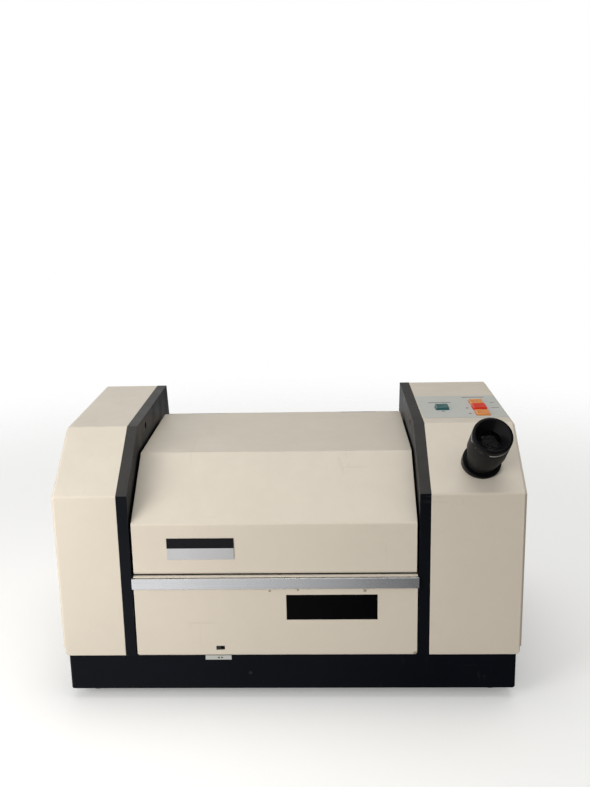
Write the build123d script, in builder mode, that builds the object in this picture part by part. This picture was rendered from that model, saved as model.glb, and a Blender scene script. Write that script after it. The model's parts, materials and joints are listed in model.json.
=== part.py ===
from build123d import *
import os
from math import acos, atan2, cos, pi, radians, sin, sqrt, tan

# A bench polarimeter: two columns joined by a base, with a sample chamber under a hinged hood between them.
# Light starts in the left column, crosses the sample tube along +X, and is read in the right column,
# where a mirror turns it up to the eyepiece.
# Millimetres. +Z is up and the operator sits in front, at -Y.
# The origin is on the table, at the middle of the overall width and depth.

os.makedirs("parts", exist_ok=True)

# Body, from the front plane of the columns and from the table
overall_width = 430.0
body_depth = 270.0
body_top = 250.8
knee_height = 203.8
slant_depth = 68.8
top_back_depth = 240.0
rear_knee_height = 130.0
foot_height = 10.0
base_height = 35.3

# Sheet metal and plates
sheet = 1.5
bend = 3.0
cheek = 10.2
cheek_bend = 1.2
side_plate = 1.5
side_plate_inset = 2.5
side_plate_lift = 5.7
side_plate_corner = 3.0
side_flange = 14.0
cover_corner = 4.5
cover_edge = 1.2
joint_gap = 0.2

# Widths, from the outer side plates to the faces that the sample chamber lies between
left_column = 69.2
right_column = 95.8

# Base tray and feet
base_inset = 3.0
base_corner = 3.0
base_edge = 1.5
tray_wall = 2.0
foot_inset_x = 22.0
foot_inset_y = 25.0
foot_radius = 9.5
foot_taper = 1.5
foot_recess = 5.0

# Fasteners: socket cap screws and countersunk case screws
cap_head_radius = 3.5
cap_head_height = 4.0
cap_thread_radius = 2.0
cap_thread_length = 10.0
cap_hex_radius = 1.7
cap_hex_depth = 2.0
screw_clearance = 0.1
case_head_radius = 2.9
case_thread_radius = 1.45
case_thread_length = 7.0
case_slot_width = 0.7
case_slot_depth = 0.6
countersink = 1.5
cheek_screw_depth = 106.5
cheek_screw_drop = 10.0
cap_screw_recess = 1.5
side_screw_inset = 20.0
knee_screw_drop = 18.0
rear_screw_drop = 12.0
cover_lug = 12.0
cover_lug_drop = 16.0
panel_tab = 10.0
low_tab_z = 62.0
high_tab_z = 118.0

# Lower front panel with its window, trim strip and slide switch
panel_setback = 0.6
panel_gap = 1.0
panel_top = 125.4
panel_ledge = 8.4
panel_corner = 2.0
strip_bottom = 113.3
strip_height = 10.7
strip_proud = 2.6
strip_edge = 0.8
window_from_cheek = 80.1
window_z = 93.5
window_width = 84.5
window_height = 25.2
window_rim = 4.0
window_thickness = 2.0
digit_count = 6
digit_pitch = 13.0
digit_width = 12.2
digit_height = 18.0
digit_depth = 8.0
board = 1.6
spacer_radius = 2.5
slot_from_cheek = 79.8
slot_z = 52.4
slot_width = 8.0
slot_height = 4.2
knob_width = 3.6
knob_height = 3.4
knob_travel = 3.6
knob_recess = 0.3
knob_grooves = 2
groove_pitch = 1.2
groove_width = 0.4
switch_width = 20.0
switch_height = 9.0
switch_depth = 8.0
switch_pocket = 3.0

# Hood over the sample chamber
hood_gap = 2.0
hood_setback = 0.7
hood_bottom = 126.9
hood_return = 11.3
hood_knee = 176.3
hood_slant_depth = 66.3
hood_top = 224.5
hood_back_depth = 210.5
shelf_lap = 1.0
hood_flange = 14.0
nameplate_from_cheek = 64.8
nameplate_z = 152.4
nameplate_width = 61.7
nameplate_height = 20.6
nameplate_thickness = 0.6

# Hood hinges
hinge_inset = 45.5
hinge_length = 40.0
knuckle_radius = 3.5
pin_radius = 1.5
pin_clearance = 0.05
leaf = 1.5
leaf_reach = 26.0
leaf_relief = 4.3
knuckle_gap = 0.3

# Sample chamber
chamber_sheet = 1.2
lip_depth = 3.0
lip_gap = 0.3
chamber_front_depth = 12.0
chamber_floor = 116.0
chamber_back_depth = 200.0
tube_radius = 15.0
trough_end_gap = 14.5
trough_wall = 2.5
trough_side = 24.0
trough_leg = 8.0
trough_leg_width = 46.0
trough_leg_top = 12.0
trough_leg_inset = 30.0

# Light path through the cheeks
beam_radius = 9.0
aperture_flange_radius = 23.0
aperture_flange = 4.0
sleeve_radius = 15.95
sleeve_clearance = 0.05
sleeve_out = 14.0
glass_radius = 11.0
glass = 2.0
glass_clearance = 0.05

# Eyepiece: where its axis crosses the slanted face, and how it points
eyepiece_from_cheek = 47.8
eyepiece_up_slope = 34.4
eyepiece_rise = 45.0
eyepiece_lean = 4.0
mirror_depth = 70.0
eyecup_radius = 18.0
eyecup_reach = 53.0
eyecup_height = 6.0
eyecup_mouth = 15.5
eyecup_recess = 8.0
eyecup_floor = 0.6
eye_opening = 8.5
collar_radius = 18.0
collar_reach = 6.2
collar_spigot = 15.2
collar_spigot_length = 14.0
barrel_foot_radius = 14.2
barrel_foot = 3.0
barrel_taper = 17.0
barrel_gap = 0.3
lens_tube_radius = 12.0
lens_tube_wall = 1.5
lens_tube_in = 22.0
running_clearance = 0.06
lens_step = 1.5
eye_lens_thickness = 4.0
eye_lens_rim = 1.0

# Telescope block and mirror
block_half = 19.0
block_length = 32.0
objective_radius = 11.0
objective_thickness = 3.0
objective_bulge = 1.0
mirror_width = 28.0
mirror_thickness = 3.0

# Analyser drive
gear_module = 1.25
pressure_angle = 20.0
wheel_teeth = 72
pinion_teeth = 16
tooth_backlash = 0.2
dedendum = 1.25
wheel_face = 6.0
pinion_face = 7.0
wheel_gap = 0.6
hub_radius = 11.95
hub_bore = 8.5
polaroid_lap = 1.5
hub_end_gap = 0.6
hub_clearance = 0.05
bearing_step = 3.0
rim_width = 5.0
web = 3.0
lightening_holes = 6
lightening_radius = 9.0
plate_gap = 25.0
plate = 3.0
plate_front_depth = 30.0
plate_back_depth = 150.0
plate_bottom = 90.0
plate_top = 212.0
plate_corner = 6.0
pillar_radius = 4.0
pillar_inset = 6.5
motor_radius = 17.5
motor_length = 30.0
motor_pilot_radius = 9.0
motor_cap_radius = 8.0
motor_cap = 3.0
shaft_radius = 2.5
shaft_in_motor = 12.0

# Light side
filter_radius = 11.9
filter_thickness = 2.5
condenser_bulge = 2.0
lamp_radius = 9.5
lamp_base = 5.0
lamp_bulb_radius = 7.0
lamp_bulb_flat = 1.0
lamp_length = 12.0
lamp_bracket_size = 44.0
lamp_bracket_depth = 22.0
lamp_stand_off = 20.0
fin_count = 5
fin_slot = 4.5
fin_depth = 7.0
fin_floor = 1.0

# Control plate and keys on top of the right column
control_front_depth = 85.0
control_back_depth = 172.0
control_margin = 1.0
control_corner = 2.0
control_thickness = 0.4
green_key_from_cheek = 23.1
green_key_depth = 121.8
green_key_width = 12.7
green_key_length = 15.2
green_key_rise = 3.1
row_key_inset = 23.8
row_key_depth = 121.0
row_key_pitch = 21.0
row_key_width = 13.2
row_key_length = 16.5
orange_key_rise = 2.4
red_key_rise = 3.4
key_gap = 0.4
key_edge = 0.8
key_flange = 1.2
key_flange_lap = 1.0
flange_clearance = 0.3
key_travel = 1.2
key_stem_radius = 3.0
key_board_drop = 18.0
key_board_margin = 16.0
switch_box = 7.0
switch_box_height = 4.5

# Back panel fittings
inlet_from_cheek = 32.0
inlet_z = 86.0
inlet_width = 27.0
inlet_height = 19.8
inlet_flange = 2.5
inlet_flange_margin = 2.2
inlet_depth = 20.0
inlet_cavity_width = 24.0
inlet_cavity_height = 15.8
inlet_cavity_depth = 16.0
inlet_cavity_corner = 4.5
pin_width = 4.0
pin_thickness = 2.0
pin_length = 13.0
pin_root = 3.0
pin_spread = 7.0
pin_offset = 2.0
fuse_pitch = 30.0
fuse_body_radius = 6.0
fuse_body_length = 25.0
fuse_flange_radius = 8.5
fuse_flange = 2.5
fuse_cap_radius = 7.0
fuse_cap = 8.0
fuse_slot = 1.5
rocker_pitch = 24.0
rocker_frame_width = 16.0
rocker_frame_height = 23.0
rocker_frame_face = 2.0
rocker_case_depth = 14.0
rocker_wall = 1.5
rocker_width = 9.6
rocker_half_length = 7.6
rocker_tilt = 12.0
rocker_pivot_depth = 2.0
rocker_pivot_radius = 1.5
rocker_side_gap = 0.4
rocker_end_gap = 1.1
rocker_face = 2.6
rocker_dip = 1.4
rocker_root = 4.5
rocker_trunnion = 6.2
vent_count = 7
lamp_vent_count = 3
vent_pitch = 11.0
vent_width = 3.0
vent_length = 34.0
vent_from_cheek = 52.0
vent_z = 90.0

# Electronics on the floor of the base tray
board_length = 150.0
board_front_depth = 55.0
board_gap = 14.0
board_stand = 8.0
capacitor_radius = 9.0
capacitor_height = 28.0
capacitor_count = 3
capacitor_pitch = 32.0
heat_sink_pitch = 6.0
heat_sink_fins = 7
heat_sink_width = 26.0
heat_sink_height = 30.0
connector_count = 3
connector_pitch = 40.0
connector_length = 24.0
connector_width = 7.0
connector_height = 9.0
transformer_from_cheek = 62.0
transformer_from_back = 45.0
core_length = 66.0
core_width = 34.0
core_height = 56.0
coil_length = 42.0
coil_width = 52.0
coil_height = 36.0
coil_corner = 4.0
core_lugs = 18.0

# Places worked out from the sizes above
base_top = foot_height + base_height
tray_floor = foot_height + tray_wall
slope = atan2(body_top - knee_height, slant_depth)
seat_depth = eyepiece_up_slope * cos(slope)
seat_height = knee_height + eyepiece_up_slope * sin(slope)
rise = radians(eyepiece_rise)
lean = radians(eyepiece_lean)
look = Vector(sin(lean), -cos(lean) * cos(rise), cos(lean) * sin(rise))
front_reach = -eyecup_reach * look.Y + eyecup_radius * sqrt(1 - look.Y**2) - seat_depth
rear_reach = fuse_flange + fuse_cap - panel_setback
front_y = (front_reach - rear_reach - body_depth) / 2
back_y = front_y + body_depth
middle_y = front_y + body_depth / 2
thread_hole = case_thread_radius + screw_clearance
cap_hole = cap_thread_radius + screw_clearance
cap_head_hole = cap_head_radius + 2 * screw_clearance
head_hole = case_head_radius + screw_clearance

left_wall_x = -overall_width / 2 + side_plate
left_chamber_x = -overall_width / 2 + left_column
left_cheek_x = left_chamber_x - cheek
right_wall_x = overall_width / 2 - side_plate
right_chamber_x = overall_width / 2 - right_column
right_cheek_x = right_chamber_x + cheek
chamber_middle_x = (left_chamber_x + right_chamber_x) / 2
chamber_width = right_chamber_x - left_chamber_x

window_x = right_chamber_x - window_from_cheek
slot_x = left_chamber_x + slot_from_cheek
nameplate_x = left_chamber_x + nameplate_from_cheek
trough_length = chamber_width - 2 * trough_end_gap
green_key_x = right_cheek_x + green_key_from_cheek
row_key_x = right_wall_x - row_key_inset
inlet_x = left_chamber_x + inlet_from_cheek
fuse_x = inlet_x + fuse_pitch
rocker_x = fuse_x + rocker_pitch
vent_x = right_chamber_x - vent_from_cheek
transformer_x = left_chamber_x + transformer_from_cheek
transformer_depth = body_depth - transformer_from_back

seat = Vector(right_cheek_x + eyepiece_from_cheek, front_y + seat_depth, seat_height)
mirror_point = seat - look * mirror_depth
beam_y = mirror_point.Y
beam_z = mirror_point.Z
mirror_normal = (look - Vector(1, 0, 0)).normalized()

shelf_top = hood_top - sheet - 2 * knuckle_radius - knuckle_gap
hinge_y = front_y + hood_back_depth + knuckle_radius
hinge_z = hood_top - sheet - knuckle_radius
inlet_y = back_y - panel_setback
wheel_radius = gear_module * wheel_teeth / 2
pinion_radius = gear_module * pinion_teeth / 2
pinion_z = beam_z - wheel_radius - pinion_radius
plate_x = right_cheek_x + plate_gap
wheel_x = right_cheek_x + sleeve_out + wheel_gap

MIDDLE_UP = (Align.CENTER, Align.CENTER, Align.MIN)
MIDDLE_DOWN = (Align.CENTER, Align.CENTER, Align.MAX)


def upright(y):
    """Plane across the object at depth y, seen from the front: local x is X and local y is Z."""
    return Plane(origin=(0, y, 0), x_dir=(1, 0, 0), z_dir=(0, -1, 0))


def on_beam(x):
    """Plane square to the light path at x, with its origin on the path."""
    return Plane(origin=(x, beam_y, beam_z), x_dir=(0, 1, 0), z_dir=(1, 0, 0))


def on_eyepiece(reach):
    """Plane square to the eyepiece's axis, reach out from the slanted face."""
    return Plane(origin=seat + look * reach, x_dir=(1, 0, 0), z_dir=look)


def column_corners(foot_z):
    """Side view of a column, from the front foot over the top to the rear foot."""
    return [
        (front_y, foot_z),
        (front_y, knee_height),
        (front_y + slant_depth, body_top),
        (front_y + top_back_depth, body_top),
        (back_y, rear_knee_height),
        (back_y, foot_z),
    ]


def closed_outline(corners, bend_radius):
    """Face inside a line that is rounded at its inner corners and closed along the foot."""
    with BuildSketch() as outline:
        with BuildLine():
            fold = FilletPolyline(*corners, radius=bend_radius)
            Line(fold @ 1, fold @ 0)
        make_face()
    return outline.sketch


def bent_sheet(corners, bend_radius, thickness):
    """Edge view of a bent sheet: its line through corners, and its thickness on the right of travel."""
    with BuildSketch() as strip:
        with BuildLine():
            FilletPolyline(*corners, radius=bend_radius)
            offset(amount=thickness, side=Side.RIGHT)
        make_face()
    return strip.sketch


def lens(radius, thickness, bulge):
    """Half section of a lens about local y: flat at the back, a shallow dome in front."""
    sphere = (radius**2 + bulge**2) / (2 * bulge)
    middle = thickness + bulge - sphere + sqrt(sphere**2 - radius**2 / 4)
    with BuildSketch() as section:
        with BuildLine():
            Polyline((0, thickness + bulge), (0, 0), (radius, 0), (radius, thickness))
            ThreePointArc((radius, thickness), (radius / 2, middle), (0, thickness + bulge))
        make_face()
    return section.sketch


# Base tray: an open box of sheet that everything else stands in
foot_points = [
    (sign_x * (overall_width / 2 - foot_inset_x - base_inset), y)
    for sign_x in (-1, 1)
    for y in (front_y + foot_inset_y, back_y - foot_inset_y)
]
base_width = 2 * (right_wall_x - base_inset)
tray_inner_corner = base_corner - tray_wall
with BuildPart() as base_tray:
    with BuildSketch(Plane.XY.offset(foot_height)):
        with Locations((0, middle_y)):
            RectangleRounded(base_width, body_depth, base_corner)
    extrude(amount=base_height)
    fillet(base_tray.faces().sort_by(Axis.Z)[0].edges(), base_edge)
    with BuildSketch(Plane.XY.offset(tray_floor)):
        with Locations((0, middle_y)):
            RectangleRounded(base_width - 2 * tray_wall, body_depth - 2 * tray_wall, tray_inner_corner)
    extrude(amount=base_height, mode=Mode.SUBTRACT)
    with BuildSketch(Plane.XY.offset(foot_height)):
        with Locations(*foot_points):
            Circle(cap_hole)
    extrude(amount=tray_wall, mode=Mode.SUBTRACT)
base_tray.part.label = "base_tray"
export_step(base_tray.part, "parts/base_tray.step")

# Rubber feet, each with a recess for its screw
with BuildPart() as base_feet:
    with Locations(*foot_points):
        Cone(foot_radius - foot_taper, foot_radius, foot_height, align=MIDDLE_UP)
        Cylinder(cap_head_hole, foot_recess, align=MIDDLE_UP, mode=Mode.SUBTRACT)
        Cylinder(cap_hole, foot_height, align=MIDDLE_UP, mode=Mode.SUBTRACT)
base_feet.part.label = "base_feet"
export_step(base_feet.part, "parts/base_feet.step")

# Cheek plates: the black frames on both sides of the sample chamber, standing on the tray's floor
cheek_screw_z = body_top - cheek_screw_drop
cheek_screw_y = front_y + cheek_screw_depth
tab_heights = (low_tab_z, high_tab_z)


def cheek_plate(chamber_x, outward):
    """Plate from its chamber face outward, with its holes and the tabs that carry the rear panel."""
    with BuildPart() as plate_part:
        with BuildSketch(Plane.YZ.offset(chamber_x)):
            add(closed_outline(column_corners(base_top), cheek_bend))
        extrude(amount=outward * cheek)
        with BuildSketch(Plane.YZ.offset(chamber_x)):
            with Locations((middle_y, (tray_floor + base_top) / 2)):
                Rectangle(body_depth - 2 * tray_wall - 2 * joint_gap, base_top - tray_floor)
        extrude(amount=outward * cheek)
        with BuildSketch(Plane.YZ.offset(chamber_x)):
            with Locations((beam_y, beam_z)):
                Circle(sleeve_radius + sleeve_clearance)
            with Locations((cheek_screw_y, cheek_screw_z)):
                Circle(cap_hole)
        extrude(amount=outward * cheek, mode=Mode.SUBTRACT)
        with BuildSketch(Plane.YZ.offset(chamber_x)):
            with Locations((cheek_screw_y, cheek_screw_z)):
                Circle(cap_head_hole)
        extrude(amount=outward * (cap_head_height + cap_screw_recess), mode=Mode.SUBTRACT)
        with BuildSketch(Plane.YZ.offset(chamber_x)):
            with Locations(*[(back_y - panel_setback - sheet - panel_tab / 2, z) for z in tab_heights]):
                Rectangle(panel_tab, panel_tab)
        extrude(amount=-outward * panel_tab)
        with BuildSketch(upright(back_y)):
            with Locations(*[(chamber_x - outward * panel_tab / 2, z) for z in tab_heights]):
                Circle(thread_hole)
        extrude(amount=-(body_depth - top_back_depth), both=True, mode=Mode.SUBTRACT)
    return plate_part.part


with BuildPart() as left_cheek:
    add(cheek_plate(left_chamber_x, -1))
left_cheek.part.label = "left_cheek"
export_step(left_cheek.part, "parts/left_cheek.step")

with BuildPart() as right_cheek:
    add(cheek_plate(right_chamber_x, 1))
right_cheek.part.label = "right_cheek"
export_step(right_cheek.part, "parts/right_cheek.step")

# Column covers: one folded strip each, with a flange on its outer side for the side plate
screw_row = side_flange / 2 + sheet
side_screws = [
    (front_y + screw_row, base_top + side_screw_inset),
    (front_y + screw_row, knee_height - knee_screw_drop),
    (front_y + slant_depth + side_screw_inset, body_top - screw_row),
    (front_y + top_back_depth - side_screw_inset, body_top - screw_row),
    (back_y - screw_row, rear_knee_height - rear_screw_drop),
    (back_y - screw_row, base_top + side_screw_inset),
]


def column_cover(outer_x, inner_x):
    """Folded cover from its outer side to the cheek, with the lug that the cheek's screw pulls on."""
    inward = 1 if inner_x > outer_x else -1
    with BuildPart() as cover:
        with BuildSketch(Plane.YZ.offset(outer_x)):
            add(closed_outline(column_corners(base_top), bend))
        extrude(amount=inner_x - outer_x)
        outer_face = cover.faces().sort_by(Axis.X)[0 if inward > 0 else -1]
        fillet(outer_face.edges().sort_by(Axis.Z)[1:], cover_edge)
        with BuildSketch(Plane.YZ.offset(outer_x + inward * sheet)):
            add(closed_outline(column_corners(base_top - 2 * bend), bend))
            offset(amount=-sheet, mode=Mode.REPLACE)
        extrude(amount=inner_x - outer_x, mode=Mode.SUBTRACT)
        with BuildSketch(Plane.YZ.offset(outer_x)):
            add(closed_outline(column_corners(base_top), bend))
            offset(amount=-side_flange, kind=Kind.INTERSECTION, mode=Mode.REPLACE)
        extrude(amount=inward * sheet, mode=Mode.SUBTRACT)
        with BuildSketch(Plane.YZ.offset(outer_x)):
            with Locations(*side_screws):
                Circle(thread_hole)
        extrude(amount=inward * sheet, mode=Mode.SUBTRACT)
        with BuildSketch(upright(front_y)) as front_view:
            with Locations(((outer_x + inner_x) / 2, (base_top + body_top) / 2)):
                Rectangle(abs(inner_x - outer_x), body_top - base_top)
            lower_corners = front_view.vertices().group_by(Axis.Y)[0]
            fillet(lower_corners.sort_by(Axis.X)[0 if inward > 0 else -1], cover_corner)
        extrude(amount=-body_depth, mode=Mode.INTERSECT)
        with BuildSketch(Plane.YZ.offset(inner_x)):
            with Locations((cheek_screw_y, body_top - sheet)):
                Rectangle(cover_lug, cover_lug_drop, align=(Align.CENTER, Align.MAX))
            with Locations((cheek_screw_y, cheek_screw_z)):
                Circle(cap_hole, mode=Mode.SUBTRACT)
        extrude(amount=-inward * cover_lug)
    return cover.part


with BuildPart() as left_cover:
    add(column_cover(left_wall_x, left_cheek_x))
    # Vent slots behind the lamp
    with BuildSketch(upright(back_y)):
        with Locations(((left_wall_x + left_cheek_x) / 2, vent_z)):
            with GridLocations(vent_pitch, 0, lamp_vent_count, 1):
                SlotOverall(vent_length, vent_width, rotation=90)
    extrude(amount=2 * sheet, both=True, mode=Mode.SUBTRACT)
left_cover.part.label = "left_cover"
export_step(left_cover.part, "parts/left_cover.step")

key_board_z = body_top - key_board_drop
keys = {
    "green_key": (green_key_x, green_key_depth, green_key_width, green_key_length, green_key_rise),
    "rear_orange_key": (
        row_key_x, row_key_depth + row_key_pitch, row_key_width, row_key_length, orange_key_rise,
    ),
    "red_key": (row_key_x, row_key_depth, row_key_width, row_key_length, red_key_rise),
    "front_orange_key": (
        row_key_x, row_key_depth - row_key_pitch, row_key_width, row_key_length, orange_key_rise,
    ),
}


def key_openings():
    """Rectangles that the keys pass through, a gap wider than each key all round."""
    with BuildSketch() as openings:
        for x, depth, width, length, _ in keys.values():
            with Locations((x, front_y + depth)):
                Rectangle(width + 2 * key_gap, length + 2 * key_gap)
    return openings.sketch


with BuildPart() as right_cover:
    add(column_cover(right_wall_x, right_cheek_x))
    with BuildSketch(Plane.XY.offset(body_top)):
        add(key_openings())
    extrude(amount=-sheet, mode=Mode.SUBTRACT)
    with BuildSketch(on_eyepiece(-2 * collar_reach)):
        Circle(collar_spigot + screw_clearance)
    extrude(amount=4 * collar_reach, mode=Mode.SUBTRACT)
right_cover.part.label = "right_cover"
export_step(right_cover.part, "parts/right_cover.step")

# Side plates: thin plates screwed to the outer flanges of the covers
def side_screw_planes(wall_x, outward):
    """Planes of the screw heads on one side plate, facing out."""
    return [
        Plane(origin=(wall_x + outward * side_plate, y, z), z_dir=(outward, 0, 0)) for y, z in side_screws
    ]


def outer_side_plate(wall_x, outward):
    """Plate on a cover's outer flange, a little smaller than the column all round."""
    with BuildPart() as plate_part:
        with BuildSketch(Plane.YZ.offset(wall_x)):
            add(closed_outline(column_corners(base_top + side_plate_lift - side_plate_inset), bend))
            offset(amount=-side_plate_inset, mode=Mode.REPLACE)
        extrude(amount=outward * side_plate)
        fillet(plate_part.edges().filter_by(Axis.X).group_by(Axis.Z)[0], side_plate_corner)
        with Locations(*side_screw_planes(wall_x, outward)):
            Cone(thread_hole, head_hole, countersink, align=MIDDLE_DOWN, mode=Mode.SUBTRACT)
            Cylinder(thread_hole, 2 * side_plate, align=MIDDLE_DOWN, mode=Mode.SUBTRACT)
    return plate_part.part


with BuildPart() as left_side_plate:
    add(outer_side_plate(left_wall_x, -1))
left_side_plate.part.label = "left_side_plate"
export_step(left_side_plate.part, "parts/left_side_plate.step")

with BuildPart() as right_side_plate:
    add(outer_side_plate(right_wall_x, 1))
right_side_plate.part.label = "right_side_plate"
export_step(right_side_plate.part, "parts/right_side_plate.step")

# Lower front panel, bent back along its top into the ledge that the hood closes on
panel_left_x = left_chamber_x + panel_gap
panel_right_x = right_chamber_x - panel_gap
panel_width = panel_right_x - panel_left_x
with BuildPart() as front_panel:
    with BuildSketch(Plane.YZ.offset(panel_left_x)):
        add(
            bent_sheet(
                [
                    (front_y + panel_setback, base_top),
                    (front_y + panel_setback, panel_top),
                    (front_y + panel_setback + panel_ledge, panel_top),
                ],
                bend,
                sheet,
            )
        )
    extrude(amount=panel_width)
    fillet(front_panel.edges().filter_by(Axis.Y).group_by(Axis.Z)[0], panel_corner)
    with BuildSketch(upright(front_y)):
        with Locations((window_x, window_z)):
            Rectangle(window_width, window_height)
        with Locations((slot_x, slot_z)):
            Rectangle(slot_width, slot_height)
    extrude(amount=-2 * sheet, mode=Mode.SUBTRACT)
front_panel.part.label = "front_panel"
export_step(front_panel.part, "parts/front_panel.step")

# Trim strip: a bar between the cheeks, proud of the panel
with BuildPart() as trim_strip:
    with BuildSketch(Plane.YZ.offset(left_chamber_x + joint_gap / 2)):
        with Locations((front_y + panel_setback, strip_bottom)):
            Rectangle(strip_proud + panel_setback, strip_height, align=(Align.MAX, Align.MIN))
    extrude(amount=chamber_width - joint_gap)
    front_edges = trim_strip.edges().filter_by(Axis.X).group_by(Axis.Y)[0]
    fillet(front_edges, strip_edge)
trim_strip.part.label = "trim_strip"
export_step(trim_strip.part, "parts/trim_strip.step")

# Display window: a dark pane with a rim behind the panel
panel_back_y = front_y + panel_setback + sheet
with BuildPart() as display_window:
    with BuildSketch(upright(panel_back_y)):
        with Locations((window_x, window_z)):
            Rectangle(window_width - joint_gap, window_height - joint_gap)
    extrude(amount=sheet - joint_gap)
    with BuildSketch(upright(panel_back_y)):
        with Locations((window_x, window_z)):
            RectangleRounded(window_width + 2 * window_rim, window_height + 2 * window_rim, panel_corner)
    extrude(amount=-window_thickness)
display_window.part.label = "display_window"
export_step(display_window.part, "parts/display_window.step")

# Display board on four spacers, with its row of digit modules
digit_front_y = panel_back_y + window_thickness + sheet
board_front_y = digit_front_y + digit_depth
display_board_width = window_width + 4 * window_rim
display_board_height = window_height + 4 * window_rim
with BuildPart() as display_board:
    with BuildSketch(upright(board_front_y)):
        with Locations((window_x, window_z)):
            RectangleRounded(display_board_width, display_board_height, panel_corner)
    extrude(amount=-board)
    with BuildSketch(upright(board_front_y)):
        with Locations((window_x, window_z)):
            with GridLocations(
                display_board_width - 2 * spacer_radius, display_board_height - 2 * spacer_radius, 2, 2
            ):
                Circle(spacer_radius)
    extrude(amount=board_front_y - panel_back_y)
display_board.part.label = "display_board"
export_step(display_board.part, "parts/display_board.step")

with BuildPart() as display_digits:
    with BuildSketch(upright(board_front_y)):
        with Locations((window_x, window_z)):
            with GridLocations(digit_pitch, 0, digit_count, 1):
                Rectangle(digit_width, digit_height)
    extrude(amount=digit_depth)
display_digits.part.label = "display_digits"
export_step(display_digits.part, "parts/display_digits.step")

# Slide switch behind the panel, its knob in the slot
pocket_width = slot_width + joint_gap
pocket_height = slot_height + joint_gap
with BuildPart() as slide_switch:
    with BuildSketch(upright(panel_back_y)):
        with Locations((slot_x, slot_z)):
            Rectangle(switch_width, switch_height)
    extrude(amount=-switch_depth)
    with BuildSketch(upright(panel_back_y)):
        with Locations((slot_x, slot_z)):
            Rectangle(pocket_width, pocket_height)
    extrude(amount=-switch_pocket, mode=Mode.SUBTRACT)
slide_switch.part.label = "slide_switch"
export_step(slide_switch.part, "parts/slide_switch.step")

knob_front_y = front_y + panel_setback + knob_recess
knob_back_y = panel_back_y + switch_pocket - joint_gap
with BuildPart() as slide_knob:
    with BuildSketch(upright(knob_front_y)):
        with Locations((slot_x - knob_travel / 2, slot_z)):
            Rectangle(knob_width, knob_height)
    extrude(amount=knob_front_y - knob_back_y)
    # Grip grooves across the knob's face
    with BuildSketch(upright(knob_front_y)):
        with Locations((slot_x - knob_travel / 2, slot_z)):
            with GridLocations(groove_pitch, 0, knob_grooves, 1):
                Rectangle(groove_width, knob_height)
    extrude(amount=-knob_recess, mode=Mode.SUBTRACT)
slide_knob.part.label = "slide_knob"
export_step(slide_knob.part, "parts/slide_knob.step")

# Chamber tray: lip on the panel's ledge, step down to the floor, and the back wall up to the shelf
lip_z = hood_bottom - lip_gap
chamber_tray_x = left_chamber_x + joint_gap
chamber_tray_width = chamber_width - 2 * joint_gap
with BuildPart() as chamber_tray:
    with BuildSketch(Plane.YZ.offset(chamber_tray_x)):
        add(
            bent_sheet(
                [
                    (front_y + lip_depth, lip_z),
                    (front_y + chamber_front_depth, lip_z),
                    (front_y + chamber_front_depth, chamber_floor),
                    (front_y + chamber_back_depth, chamber_floor),
                    (front_y + chamber_back_depth, shelf_top - sheet),
                ],
                2 * chamber_sheet,
                chamber_sheet,
            )
        )
    extrude(amount=chamber_tray_width)
chamber_tray.part.label = "chamber_tray"
export_step(chamber_tray.part, "parts/chamber_tray.step")

# Trough for the sample tube: a right-angled V that holds the tube's axis on the light path, on two legs
vee_z = beam_z - tube_radius * sqrt(2)
with BuildPart() as tube_trough:
    with BuildSketch(Plane.YZ.offset(chamber_middle_x - trough_length / 2)):
        with BuildLine():
            Polyline(
                (beam_y - trough_side / sqrt(2), vee_z + trough_side / sqrt(2)),
                (beam_y, vee_z),
                (beam_y + trough_side / sqrt(2), vee_z + trough_side / sqrt(2)),
            )
            offset(amount=trough_wall, side=Side.RIGHT, kind=Kind.INTERSECTION)
        make_face()
    extrude(amount=trough_length)
    leg_x = chamber_middle_x - trough_length / 2 + trough_leg_inset
    leg_planes = [
        Plane.YZ.offset(x)
        for x in (leg_x, leg_x + trough_length - 2 * trough_leg_inset - trough_leg)
    ]
    half_top = trough_leg_top
    leg_top_z = vee_z - trough_wall * sqrt(2) + half_top
    with BuildSketch(*leg_planes):
        with BuildLine():
            Polyline(
                (beam_y - trough_leg_width / 2, chamber_floor),
                (beam_y + trough_leg_width / 2, chamber_floor),
                (beam_y + trough_leg_width / 2, chamber_floor + trough_wall),
                (beam_y + half_top, leg_top_z),
                (beam_y, leg_top_z - half_top),
                (beam_y - half_top, leg_top_z),
                (beam_y - trough_leg_width / 2, chamber_floor + trough_wall),
                close=True,
            )
        make_face()
    extrude(amount=trough_leg)
tube_trough.part.label = "tube_trough"
export_step(tube_trough.part, "parts/tube_trough.step")

# Polariser cell: a flanged sleeve through the left cheek, open along the light path
polariser_x = left_cheek_x - glass
condenser_x = left_cheek_x - sleeve_out
seat_radius = glass_radius + glass_clearance
with BuildPart() as polariser_cell:
    with BuildSketch(on_beam(left_chamber_x)):
        Circle(aperture_flange_radius)
    extrude(amount=aperture_flange)
    chamfer(polariser_cell.faces().sort_by(Axis.X)[-1].edges(), strip_edge)
    with BuildSketch(on_beam(condenser_x)):
        Circle(sleeve_radius)
    extrude(amount=left_chamber_x - condenser_x)
    with BuildSketch(on_beam(condenser_x)):
        Circle(beam_radius)
    extrude(amount=left_chamber_x - condenser_x + aperture_flange, mode=Mode.SUBTRACT)
    with BuildSketch(on_beam(left_chamber_x + aperture_flange - glass - glass_clearance)):
        Circle(seat_radius)
    extrude(amount=glass + glass_clearance, mode=Mode.SUBTRACT)
    with BuildSketch(on_beam(condenser_x)):
        Circle(seat_radius)
    extrude(amount=polariser_x - condenser_x + 3 * glass, mode=Mode.SUBTRACT)
polariser_cell.part.label = "polariser_cell"
export_step(polariser_cell.part, "parts/polariser_cell.step")

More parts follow.
